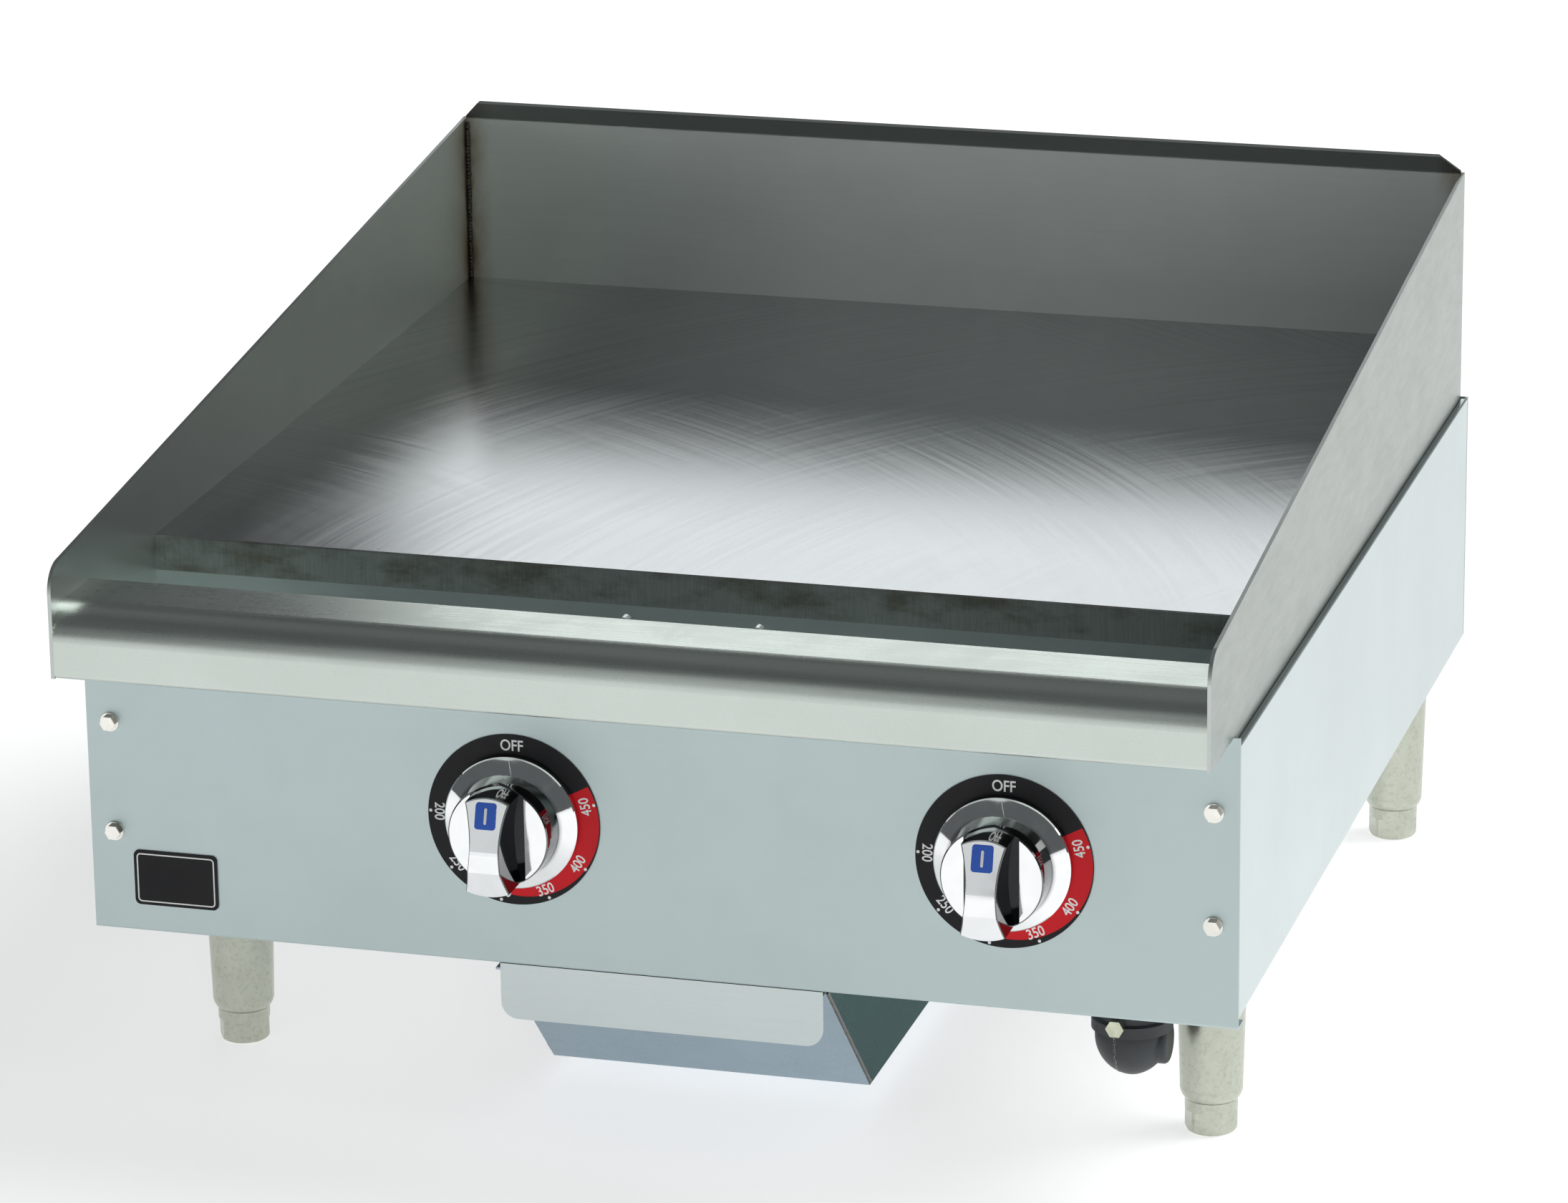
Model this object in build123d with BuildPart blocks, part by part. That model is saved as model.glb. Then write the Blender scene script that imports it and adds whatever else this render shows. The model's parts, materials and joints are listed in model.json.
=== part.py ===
from build123d import *
import os

os.makedirs("parts", exist_ok=True)

# Countertop gas griddle, 24 inch class. Millimetres, +Z up, front towards -Y, +X to the right.
# The origin is the centre of the whole object's box, on the counter.

# ---- driving dimensions: body ----
BODY_W = 610.0            # across the two side panels
BODY_D = 629.0            # front panel face to rear panel face
NOSE_OUT = 53.0           # how far the rounded front rail stands out past the front panel
PIPE_OUT = 22.0           # how far the gas inlet stands out past the rear panel
PANEL_Z = 101.5           # bottom edge of the front panel
PAN_Z = 107.5             # underside of the bottom pan, bottom edge of the side panels
SIDE_TOP = 252.0          # top edge of the side panels
NOSE_Z = 256.0            # underside of the front rail, top edge of the front panel
NOSE_TOP = 293.7          # flat top of the front rail
PLATE_TOP = 288.4         # cooking surface
PLATE_T = 19.0            # cooking plate, three quarters of an inch
TROUGH_W = 92.0           # front rail to the plate's front edge
SPLASH_D = 621.0          # inner face of the rear splash, behind the front panel face
SPLASH_TOP = 387.0        # top of the rear splash below its lip
SPLASH_FRONT_Z = 314.2    # where the sloping top edge would meet the front edge
LIP_RISE = 11.0           # lip bent forward along the top of the rear splash
LIP_LEAN = 9.0
LIP_CORNER = 13.0

# ---- sheet thicknesses ----
BODY_T = 1.2
SPLASH_T = 2.0
NOSE_T = 1.6
PAN_T = 1.5
SHEET_BEND = 2.5          # outer bend radius of the thicker sheets
THIN_BEND = 1.6           # outer bend radius of the body sheets
CUT = 1.0                 # how far a cut runs past the metal it goes through
SINK = 1.0                # how far a round reaches into the body it belongs to

# ---- controls ----
DIAL_X = (-73.0, 185.0)   # the two thermostats stand to the right of the middle
DIAL_Z = 181.0
DIAL_R = 46.0
DIAL_T = 0.8
BURNER_SHIFT = -56.0      # each burner stands this far to the side of its thermostat
BURNER_Z = 200.0
BURNER_R = 19.0
BURNER_T = 1.5

# ---- gas train ----
MANIFOLD_D = 78.0         # depth of the manifold behind the front panel face
MANIFOLD_Z = 175.0
MANIFOLD_R = 10.65
REG_X = 233.0
REG_BOTTOM = 41.5
PIPE_Z = 126.0
PIPE_R = 13.35
THREAD_R = 13.0

# ---- legs ----
LEG_SPOTS = {"front": (267.5, 112.0), "rear": (275.0, 574.0)}    # half spacing, depth
FOOT_H = 18.4
FOOT_R = 13.9
STUD_R = 7.95
RUN = 0.05                # radial clearance of a running fit
GAP = 0.3                 # clearance between faces that move past each other

# ---- grease path ----
DRAWER_X = 1.0
DRAWER_HALF = 87.0
TRAY_Z = 13.0
TRAY_TOP = 98.0
TRAY_END = 335.0
TRAY_T = 1.2
CHUTE_X = 21.0
CHUTE_DEPTH = 46.0
CHUTE_W = 70.0
CHUTE_D = 40.0
TROUGH_Z = 232.0

# ---- derived ----
FRONT = -(NOSE_OUT + BODY_D + PIPE_OUT) / 2
FACE = FRONT + NOSE_OUT
REAR = FACE + BODY_D
SIDE = BODY_W / 2
IN_W = 299.5              # half the width between the side splashes
PLATE_Z = PLATE_TOP - PLATE_T
BURNER_X = tuple(x + BURNER_SHIFT for x in DIAL_X)
SIDES = {"left": -1, "right": 1}
HANDS = tuple(SIDES)
ORIFICE_R = 5.0
BOSS_R = 8.0
LINER_X = 287.0
LINER_END = 600.0
FIREWALL_D = 95.0
BRACKET_D = 560.0


def back(depth):
    """The y of a point that lies `depth` behind the front panel's face."""
    return FACE + depth


def save(builder, name):
    """Labels a finished piece and writes its STEP file."""
    builder.part.label = name
    export_step(builder.part, f"parts/{name}.step")


def bent_strip(path, thickness, bends, side, start, length):
    """A sheet bent along a path of (y, z) points, running along X from `start`."""
    with BuildPart() as strip:
        with BuildSketch(Plane.YZ.offset(start)):
            with BuildLine():
                FilletPolyline(*path, radius=bends)
                offset(amount=thickness, side=side)
            make_face()
        extrude(amount=length)
    return strip


def facing_plane(x, depth, z):
    """A plane that faces the front: local x is +X, local y is +Z, extrusions go towards the front."""
    return Plane(origin=(x, back(depth), z), x_dir=(1, 0, 0), z_dir=(0, -1, 0))


def turning_plane(x, z):
    """A plane through a front-to-back axis: local x is the radius, local y is the height off the panel."""
    return Plane(origin=(x, FACE, z), x_dir=(1, 0, 0), z_dir=(0, 0, -1))


def front_axis(x, z):
    """The front-to-back axis through x and z, pointing at the cook."""
    return Axis((x, FACE, z), (0, -1, 0))


def upright_plane(x, y):
    """A plane through a vertical axis: local x is the radius, local y is the height."""
    return Plane(origin=(x, y, 0), x_dir=(1, 0, 0), z_dir=(0, -1, 0))


def round_bar(x, z, radius, depth_from, depth_to):
    """A round bar that runs front to back, added to the part in progress."""
    with BuildSketch(facing_plane(x, depth_to, z)) as disc:
        Circle(radius)
    extrude(disc.sketch, amount=depth_to - depth_from)


def bore(x, z, radius, depth_from, depth_to):
    """A round hole that runs front to back, cut from the part in progress."""
    with BuildSketch(facing_plane(x, depth_to, z)) as disc:
        Circle(radius)
    extrude(disc.sketch, amount=depth_to - depth_from, mode=Mode.SUBTRACT)


def through(depth, thickness):
    """The depths between which a cut clears a sheet that starts at `depth`."""
    return depth - CUT, depth + thickness + CUT


def block(x_range, depth_range, z_range, mode=Mode.ADD):
    """A rectangular block between pairs of limits, in the part in progress."""
    x_low, x_high = x_range
    d_low, d_high = depth_range
    z_low, z_high = z_range
    with BuildSketch(Plane.XY.offset(z_low)) as footprint:
        with Locations(((x_low + x_high) / 2, back((d_low + d_high) / 2))):
            Rectangle(x_high - x_low, d_high - d_low)
    extrude(footprint.sketch, amount=z_high - z_low, mode=mode)


# ======== cooking plate, splashes, front rail ========

PLATE_CHAMFER = 0.8
with BuildPart() as griddle_plate:
    block((-IN_W, IN_W), (TROUGH_W, SPLASH_D), (PLATE_Z, PLATE_TOP))
    chamfer(griddle_plate.faces().sort_by(Axis.Y)[0].edges().sort_by(Axis.Z)[-1], PLATE_CHAMFER)
save(griddle_plate, "griddle_plate")

SPLASH_LOW = 236.0
SPLASH_CORNER_R = 15.0
SPLASH_STEP = 4.0


def make_side_splash(side):
    """A side splash: sloping top edge, rounded front corner, its lower part inside the body."""
    inner = side * IN_W
    with BuildPart() as splash:
        with BuildSketch(Plane.YZ.offset(inner)) as outline:
            with BuildLine():
                Polyline(
                    (FRONT, NOSE_Z),
                    (FRONT, SPLASH_FRONT_Z),
                    (back(SPLASH_D + SPLASH_T), SPLASH_TOP),
                    (back(SPLASH_D + SPLASH_T), SPLASH_LOW),
                    (back(SPLASH_STEP), SPLASH_LOW),
                    (back(SPLASH_STEP), NOSE_Z),
                    close=True,
                )
            make_face()
            front_top = outline.vertices().group_by(Axis.X)[0].sort_by(Axis.Y)[-1]
            fillet(front_top, SPLASH_CORNER_R)
        extrude(amount=side * SPLASH_T)
    return splash


for hand, side in SIDES.items():
    save(make_side_splash(side), f"{hand}_splash")

SPLASH_SINK = 240.0
LIP_CUT_L = 200.0         # the lip's corner cuts start behind the body and end over the plate
lip_path = (
    (back(SPLASH_D), SPLASH_SINK),
    (back(SPLASH_D), SPLASH_TOP),
    (back(SPLASH_D - LIP_LEAN), SPLASH_TOP + LIP_RISE),
)
splash_sheet = bent_strip(lip_path, SPLASH_T, SHEET_BEND, Side.RIGHT, -IN_W, 2 * IN_W)
with BuildPart() as rear_splash:
    add(splash_sheet.part)
    for side in SIDES.values():
        with BuildSketch(Plane.XZ.offset(-REAR)):
            with BuildLine():
                Polyline(
                    (side * (IN_W + CUT), SPLASH_TOP + CUT),
                    (side * IN_W, SPLASH_TOP + CUT),
                    (side * (IN_W - LIP_CORNER), SPLASH_TOP + CUT + LIP_CORNER),
                    (side * (IN_W + CUT), SPLASH_TOP + CUT + LIP_CORNER),
                    close=True,
                )
            make_face()
        extrude(amount=LIP_CUT_L, mode=Mode.SUBTRACT)
save(rear_splash, "rear_splash")

NOSE_ROLL = 18.0
NOSE_HEM = 12.0
NOSE_RETURN = 45.0
HEM_BEND = 2.0
nose_path = (
    (back(BODY_T), NOSE_TOP - NOSE_HEM),
    (back(BODY_T), NOSE_TOP),
    (FRONT, NOSE_TOP),
    (FRONT, NOSE_Z),
    (FRONT + NOSE_RETURN, NOSE_Z),
)
front_rail = bent_strip(nose_path, NOSE_T, (HEM_BEND, NOSE_ROLL, SHEET_BEND), Side.LEFT, -IN_W, 2 * IN_W)
save(front_rail, "front_rail")

TROUGH_FRONT_TOP = 290.0
TROUGH_BEND = 6.0
PLATE_OVERHANG = 1.5      # the plate reaches this far past the trough's rear wall
trough_path = (
    (back(BODY_T), TROUGH_FRONT_TOP),
    (back(BODY_T), TROUGH_Z),
    (back(TROUGH_W + PLATE_OVERHANG), TROUGH_Z),
    (back(TROUGH_W + PLATE_OVERHANG), PLATE_Z),
)
trough_sheet = bent_strip(trough_path, BODY_T, TROUGH_BEND, Side.LEFT, -IN_W, 2 * IN_W)
with BuildPart() as grease_trough:
    add(trough_sheet.part)
    block(
        (CHUTE_X - CHUTE_W / 2, CHUTE_X + CHUTE_W / 2),
        (CHUTE_DEPTH - CHUTE_D / 2, CHUTE_DEPTH + CHUTE_D / 2),
        (TROUGH_Z - CUT, TROUGH_Z + BODY_T + CUT),
        Mode.SUBTRACT,
    )
save(grease_trough, "grease_trough")

CHUTE_END = 101.0
CHUTE_FLANGE = 10.0
with BuildPart() as grease_chute:
    for inset, low, mode in (
        (-CHUTE_FLANGE, TROUGH_Z - BODY_T, Mode.ADD),
        (0, CHUTE_END, Mode.ADD),
        (BODY_T, CHUTE_END, Mode.SUBTRACT),
    ):
        half_w = CHUTE_W / 2 - inset
        half_d = CHUTE_D / 2 - inset
        block(
            (CHUTE_X - half_w, CHUTE_X + half_w),
            (CHUTE_DEPTH - half_d, CHUTE_DEPTH + half_d),
            (low, TROUGH_Z),
            mode,
        )
save(grease_chute, "grease_chute")

STRAINER_T = 1.5
STRAINER_Z = TROUGH_Z + BODY_T
STRAINER_SIDE_LAP = 2.0   # how far the strainer rests past the chute at its sides and its rear
STRAINER_REAR_LAP = 4.0
STRAINER_HOLE_R = 2.6
STRAINER_PITCH = 9.0
STRAINER_COLUMNS = 7
STRAINER_ROWS = 4
EAR_DEPTH = 9.0
EAR_R = 3.0
EAR_L = 5.5
EAR_TOP = 292.6
with BuildPart() as drain_strainer:
    block(
        (CHUTE_X - CHUTE_W / 2 - STRAINER_SIDE_LAP, CHUTE_X + CHUTE_W / 2 + STRAINER_SIDE_LAP),
        (EAR_DEPTH, CHUTE_DEPTH + CHUTE_D / 2 + STRAINER_REAR_LAP),
        (STRAINER_Z, STRAINER_Z + STRAINER_T),
    )
    with BuildSketch(Plane.XY.offset(STRAINER_Z)):
        with Locations((CHUTE_X, back(CHUTE_DEPTH))):
            with GridLocations(STRAINER_PITCH, STRAINER_PITCH, STRAINER_COLUMNS, STRAINER_ROWS):
                Circle(STRAINER_HOLE_R)
    extrude(amount=STRAINER_T, mode=Mode.SUBTRACT)
    for side in SIDES.values():
        ear_x = CHUTE_X + side * CHUTE_W / 2
        block(
            (ear_x - EAR_R, ear_x + EAR_R),
            (EAR_DEPTH, EAR_DEPTH + STRAINER_T),
            (STRAINER_Z, EAR_TOP - EAR_R),
        )
        with BuildSketch(facing_plane(ear_x, EAR_DEPTH + STRAINER_T, EAR_TOP - EAR_R)):
            Circle(EAR_R)
        extrude(amount=EAR_L)
save(drain_strainer, "drain_strainer")

# ======== body shell ========

SCREW_X = 292.0
SCREW_Z = (156.0, 216.0)
SCREW_R = 2.0
SHAFT_HOLE_R = 9.5
HEM = 12.0
panel_path = ((back(HEM), PANEL_Z), (FACE, PANEL_Z), (FACE, NOSE_Z))
panel_sheet = bent_strip(panel_path, BODY_T, THIN_BEND, Side.RIGHT, -SIDE, BODY_W)
with BuildPart() as front_panel:
    add(panel_sheet.part)
    for x in DIAL_X:
        bore(x, DIAL_Z, SHAFT_HOLE_R, *through(0, BODY_T))
    for x in (-SCREW_X, SCREW_X):
        for z in SCREW_Z:
            bore(x, z, SCREW_R, *through(0, BODY_T))
save(front_panel, "front_panel")

FLANGE = 20.0
FLANGE_TOP = 229.0
FLANGE_NOTCH = 5.0
RETURN_X = IN_W + SPLASH_T + GAP     # the side panels' top returns end just outside the splashes
RETURN_BEND = 1.1


def make_side_panel(side):
    """A side panel with flanges turned in at the front and the rear, and a short return along its top."""
    edge = side * SIDE
    with BuildPart() as panel:
        with BuildSketch(Plane.XY.offset(PAN_Z)):
            with BuildLine():
                FilletPolyline(
                    (edge - side * FLANGE, back(BODY_T)),
                    (edge, back(BODY_T)),
                    (edge, back(BODY_D - BODY_T)),
                    (edge - side * FLANGE, back(BODY_D - BODY_T)),
                    radius=THIN_BEND,
                )
                offset(amount=BODY_T, side=Side.LEFT if side > 0 else Side.RIGHT)
            make_face()
        extrude(amount=SIDE_TOP - PAN_Z)
        for low, high in ((0, FLANGE_NOTCH), (BODY_D - FLANGE_NOTCH, BODY_D)):
            block(
                sorted((edge - side * BODY_T, edge - side * (FLANGE + CUT))),
                (low, high),
                (FLANGE_TOP, SIDE_TOP + CUT),
                Mode.SUBTRACT,
            )
        block(
            sorted((edge - side * BODY_T, side * RETURN_X)),
            (FLANGE_NOTCH, BODY_D - FLANGE_NOTCH),
            (SIDE_TOP - BODY_T, SIDE_TOP),
        )
        top_outer = panel.edges().filter_by(Axis.Y).group_by(Axis.Z)[-1].sort_by(Axis.X)
        fillet(top_outer[-1] if side > 0 else top_outer[0], RETURN_BEND)
        for z in SCREW_Z:
            bore(side * SCREW_X, z, SCREW_R, *through(BODY_T, BODY_T))
    return panel


for hand, side in SIDES.items():
    save(make_side_panel(side), f"{hand}_side_panel")

LOUVRE_W = 42.0
LOUVRE_H = 7.0
LOUVRE_PITCH_X = 58.0
LOUVRE_PITCH_Z = 13.0
LOUVRE_COLUMNS = 9
LOUVRE_ROWS = 2
PIPE_HOLE_R = PIPE_R + 1.0
with BuildPart() as rear_panel:
    block((-SIDE, SIDE), (BODY_D - BODY_T, BODY_D), (PAN_Z, SIDE_TOP))
    with BuildSketch(facing_plane(0, BODY_D, (SIDE_TOP + BURNER_Z + BURNER_R) / 2)):
        with GridLocations(LOUVRE_PITCH_X, LOUVRE_PITCH_Z, LOUVRE_COLUMNS, LOUVRE_ROWS):
            SlotOverall(LOUVRE_W, LOUVRE_H)
    extrude(amount=BODY_T, mode=Mode.SUBTRACT)
    bore(REG_X, PIPE_Z, PIPE_HOLE_R, *through(BODY_D - BODY_T, BODY_T))
save(rear_panel, "rear_panel")

PAN_MARGIN = 3.0
PAN_FRONT = PAN_MARGIN
PAN_REAR = BODY_D - PAN_MARGIN
PAN_HALF = SIDE - BODY_T - 0.4
PAN_UP = 16.0
REG_HOLE_R = 26.0
LEG_STUD_R = 5.0
CHUTE_HOLE_GAP = 4.0
VENT_DEPTH = 470.0        # the air slots under the burners
VENT_W = 54.0
VENT_H = 8.0
VENT_PITCH_X = 70.0
VENT_PITCH_Y = 20.0
VENT_COUNT = 5
pan_path = (
    (back(PAN_FRONT), PAN_Z + PAN_UP),
    (back(PAN_FRONT), PAN_Z),
    (back(PAN_REAR), PAN_Z),
    (back(PAN_REAR), PAN_Z + PAN_UP),
)
pan_sheet = bent_strip(pan_path, PAN_T, SHEET_BEND, Side.LEFT, -PAN_HALF, 2 * PAN_HALF)
with BuildPart() as bottom_pan:
    add(pan_sheet.part)
    with BuildSketch(Plane.XY.offset(PAN_Z)):
        with Locations((CHUTE_X, back(CHUTE_DEPTH))):
            Rectangle(CHUTE_W + 2 * CHUTE_HOLE_GAP, CHUTE_D + 2 * CHUTE_HOLE_GAP)
        with Locations((REG_X, back(MANIFOLD_D))):
            Circle(REG_HOLE_R)
        with Locations((0, back(VENT_DEPTH))):
            with GridLocations(VENT_PITCH_X, VENT_PITCH_Y, VENT_COUNT, VENT_COUNT):
                SlotOverall(VENT_W, VENT_H)
        for leg_x, depth in LEG_SPOTS.values():
            with Locations((-leg_x, back(depth)), (leg_x, back(depth))):
                Circle(LEG_STUD_R)
    extrude(amount=PAN_T, mode=Mode.SUBTRACT)
    bore(REG_X, PIPE_Z, PIPE_HOLE_R, *through(PAN_REAR - PAN_T, PAN_T))
save(bottom_pan, "bottom_pan")

HEAD_R = 3.6
HEAD_H = 3.2
WASHER_R = 5.0
WASHER_T = 1.2
SCREW_L = 14.0
REAR_HEAD_R = 4.0
REAR_HEAD_H = 2.5
with BuildPart() as front_panel_screws:
    for x in (-SCREW_X, SCREW_X):
        for z in SCREW_Z:
            round_bar(x, z, WASHER_R, -WASHER_T, 0)
            with BuildSketch(facing_plane(x, -WASHER_T, z)):
                RegularPolygon(HEAD_R, 6, major_radius=False)
            extrude(amount=HEAD_H)
            round_bar(x, z, SCREW_R, 0, SCREW_L)
save(front_panel_screws, "front_panel_screws")

with BuildPart() as rear_panel_screws:
    for x in (-SCREW_X, SCREW_X):
        for z in SCREW_Z:
            round_bar(x, z, REAR_HEAD_R, BODY_D, BODY_D + REAR_HEAD_H)
save(rear_panel_screws, "rear_panel_screws")

NAMEPLATE_X = -259.0
NAMEPLATE_Z = 131.5
NAMEPLATE_W = 46.0
NAMEPLATE_H = 30.0
NAMEPLATE_CORNER_R = 3.0
with BuildPart() as nameplate:
    with BuildSketch(facing_plane(NAMEPLATE_X, 0, NAMEPLATE_Z)):
        RectangleRounded(NAMEPLATE_W, NAMEPLATE_H, NAMEPLATE_CORNER_R)
    extrude(amount=DIAL_T)
save(nameplate, "nameplate")

# ======== burner compartment ========

PORT_PILOT_X = -30.0      # pilot, to the side of its thermostat
CAPILLARY_X = 10.0
PILOT_Z = 222.0
CAPILLARY_Z = 205.0
SHELF_T = 3.0
RAIL_Z = PLATE_Z - SHELF_T
FLOOR_Z = PAN_Z + PAN_T   # the pan's upper face
PILOT_HOLE_R = 3.0
CAPILLARY_HOLE_R = 2.0
with BuildPart() as firewall:
    block((-IN_W, IN_W), (FIREWALL_D, FIREWALL_D + BODY_T), (FLOOR_Z, RAIL_Z))
    for x, z, radius in (
        *((x + BURNER_SHIFT, BURNER_Z, BURNER_R + GAP) for x in DIAL_X),
        *((x + PORT_PILOT_X, PILOT_Z, PILOT_HOLE_R) for x in DIAL_X),
        *((x + CAPILLARY_X, CAPILLARY_Z, CAPILLARY_HOLE_R) for x in DIAL_X),
        (REG_X, PIPE_Z, PIPE_HOLE_R),
    ):
        bore(x, z, radius, *through(FIREWALL_D, BODY_T))
save(firewall, "firewall")

LINER_TOP = 240.0         # the liner's rear wall stops short to let the hot gas out
LINER_BEND = 6.0
LINER_EDGE = 8.0
with BuildPart() as burner_box:
    with BuildSketch(Plane.XY.offset(FLOOR_Z)):
        with BuildLine():
            FilletPolyline(
                (-LINER_X, back(FIREWALL_D + BODY_T)),
                (-LINER_X, back(LINER_END)),
                (LINER_X, back(LINER_END)),
                (LINER_X, back(FIREWALL_D + BODY_T)),
                radius=LINER_BEND,
            )
            offset(amount=BODY_T, side=Side.RIGHT)
        make_face()
    extrude(amount=RAIL_Z - FLOOR_Z)
    block(
        (LINER_EDGE - LINER_X, LINER_X - LINER_EDGE),
        through(LINER_END - BODY_T, BODY_T),
        (LINER_TOP, RAIL_Z + CUT),
        Mode.SUBTRACT,
    )
    bore(REG_X, PIPE_Z, PIPE_HOLE_R, *through(LINER_END - BODY_T, BODY_T))
save(burner_box, "burner_box")

WOOL_T = 10.0
WOOL_GAP = 2.0            # between the liner and the wool beside it
WOOL_INSET = 8.0
WOOL_LOW = PAN_Z + 5.0
WOOL_TOP = 230.0
REAR_WOOL_HALF = 270.0
REAR_WOOL_TOP = 206.0     # below the louvres
REAR_WOOL_START = LINER_END + 3.0
REAR_WOOL_END = BODY_D - 6.0
WOOL_HOLE_R = PIPE_R + 2.0
with BuildPart() as insulation:
    for side in SIDES.values():
        inner = side * (LINER_X + WOOL_GAP)
        block(
            sorted((inner, inner + side * WOOL_T)),
            (FIREWALL_D + WOOL_INSET, LINER_END - WOOL_INSET),
            (WOOL_LOW, WOOL_TOP),
        )
    block((-REAR_WOOL_HALF, REAR_WOOL_HALF), (REAR_WOOL_START, REAR_WOOL_END), (WOOL_LOW, REAR_WOOL_TOP))
    bore(REG_X, PIPE_Z, WOOL_HOLE_R, REAR_WOOL_START - CUT, REAR_WOOL_END + CUT)
save(insulation, "insulation")

RAIL_EDGE = IN_W - 0.2
RAIL_W = 30.0
RAIL_RUN = (TROUGH_W + 4.5, SPLASH_D - 3.0)
with BuildPart() as plate_rails:
    for side in SIDES.values():
        edge = side * RAIL_EDGE
        block(sorted((edge, edge - side * RAIL_W)), RAIL_RUN, (RAIL_Z, PLATE_Z))
        block(sorted((edge, edge - side * SHELF_T)), RAIL_RUN, (SPLASH_SINK, RAIL_Z))
save(plate_rails, "plate_rails")

BRACKET_HALF = 175.0
BRACKET_T = 2.0
BRACKET_FOOT = 14.0
with BuildPart() as burner_bracket:
    across = (-BRACKET_HALF, BRACKET_HALF)
    block(across, (BRACKET_D, BRACKET_D + BRACKET_T), (FLOOR_Z, BURNER_Z))
    block(across, (BRACKET_D, BRACKET_D + BRACKET_FOOT), (FLOOR_Z, FLOOR_Z + BRACKET_T))
    for x in BURNER_X:
        bore(x, BURNER_Z, BURNER_R + GAP, *through(BRACKET_D, BRACKET_T))
save(burner_bracket, "burner_bracket")

# ======== burners, air shutters, pilots ========

THERMO_HALF = 22.0
BURNER_FRONT = 92.0
BURNER_REAR = 585.0
BURNER_END_T = 2.0
BOSS_FRONT = 86.0
MOUTH_R = ORIFICE_R + 1.2
MIX_HOLE_R = 3.6
MIX_HOLE_PCD_R = 13.0
MIX_HOLES = 5
PORT_R = 1.6
PORT_STEP = 14.0
PORTS = 30
PORT_ROW_X = 8.0          # each row of ports stands this far from the burner's middle
PORT_MIDDLE = (BURNER_FRONT + BURNER_REAR) / 2 + 15.0


def saddle(x):
    """Cuts the manifold's round from a fitting that sits on it, in the part in progress."""
    with BuildSketch(Plane.YZ.offset(x - THERMO_HALF)) as pipe:
        with Locations((back(MANIFOLD_D), MANIFOLD_Z)):
            Circle(MANIFOLD_R)
    extrude(pipe.sketch, amount=2 * THERMO_HALF, mode=Mode.SUBTRACT)


def mixing_holes(x, depth_from, depth_to):
    """The ring of air holes at a burner's mouth, cut from the part in progress."""
    with BuildSketch(facing_plane(x, depth_to, BURNER_Z)) as ring:
        with PolarLocations(MIX_HOLE_PCD_R, MIX_HOLES, start_angle=90):
            Circle(MIX_HOLE_R)
    extrude(ring.sketch, amount=depth_to - depth_from, mode=Mode.SUBTRACT)


def make_burner(x):
    """A tube burner: mixing face and boss in front, two rows of ports along the top."""
    with BuildPart() as burner:
        round_bar(x, BURNER_Z, BURNER_R, BURNER_FRONT, BURNER_REAR)
        bore(x, BURNER_Z, BURNER_R - BURNER_T, BURNER_FRONT + BURNER_END_T, BURNER_REAR - BURNER_END_T)
        round_bar(x, BURNER_Z, BOSS_R, BOSS_FRONT, BURNER_FRONT)
        bore(x, BURNER_Z, MOUTH_R, BOSS_FRONT - CUT, BURNER_FRONT + BURNER_END_T + CUT)
        mixing_holes(x, *through(BURNER_FRONT, BURNER_END_T))
        with BuildSketch(Plane.XY.offset(BURNER_Z)):
            with Locations((x, back(PORT_MIDDLE))):
                with GridLocations(2 * PORT_ROW_X, PORT_STEP, 2, PORTS):
                    Circle(PORT_R)
        extrude(amount=BURNER_R + CUT, mode=Mode.SUBTRACT)
    return burner


SHUTTER_T = 1.5
SHUTTER_R = 20.0
TAB_HALF = 3.0
TAB_SINK = 2.0
TAB_L = 5.0


def make_air_shutter(x):
    """A round shutter that turns on the burner's boss, with holes that match the mixing face."""
    rear = BURNER_FRONT - GAP
    with BuildPart() as shutter:
        round_bar(x, BURNER_Z, SHUTTER_R, rear - SHUTTER_T, rear)
        rim = BURNER_Z + SHUTTER_R
        block((x - TAB_HALF, x + TAB_HALF), (rear - SHUTTER_T, rear), (rim - TAB_SINK, rim + TAB_L))
        bore(x, BURNER_Z, BOSS_R + RUN, *through(rear - SHUTTER_T, SHUTTER_T))
        mixing_holes(x, *through(rear - SHUTTER_T, SHUTTER_T))
    return shutter


for hand, x in zip(HANDS, BURNER_X):
    save(make_burner(x), f"{hand}_burner")
    save(make_air_shutter(x), f"{hand}_air_shutter")

SPUD_START = 64.0
SPUD_END = 90.0
SPUD_HEX_R = 7.0
SPUD_HEX_L = 12.0
SPUD_BORE_R = 1.0
with BuildPart() as orifice_spuds:
    for x in BURNER_X:
        round_bar(x, BURNER_Z, ORIFICE_R, SPUD_START, SPUD_END)
        with BuildSketch(facing_plane(x, SPUD_START + SPUD_HEX_L, BURNER_Z)):
            RegularPolygon(SPUD_HEX_R, 6, major_radius=False)
        extrude(amount=SPUD_HEX_L)
        bore(x, BURNER_Z, SPUD_BORE_R, *through(SPUD_START, SPUD_END - SPUD_START))
save(orifice_spuds, "orifice_spuds")


def swept_tube(points, bend, radius):
    """A round tube along straight runs joined by arcs."""
    with BuildPart() as tube:
        with BuildLine() as route:
            FilletPolyline(*points, radius=bend)
        start = Vector(*points[0])
        run = Vector(*points[1]) - start
        with BuildSketch(Plane(origin=start, z_dir=run)):
            Circle(radius)
        sweep(path=route.line)
    return tube


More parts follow.
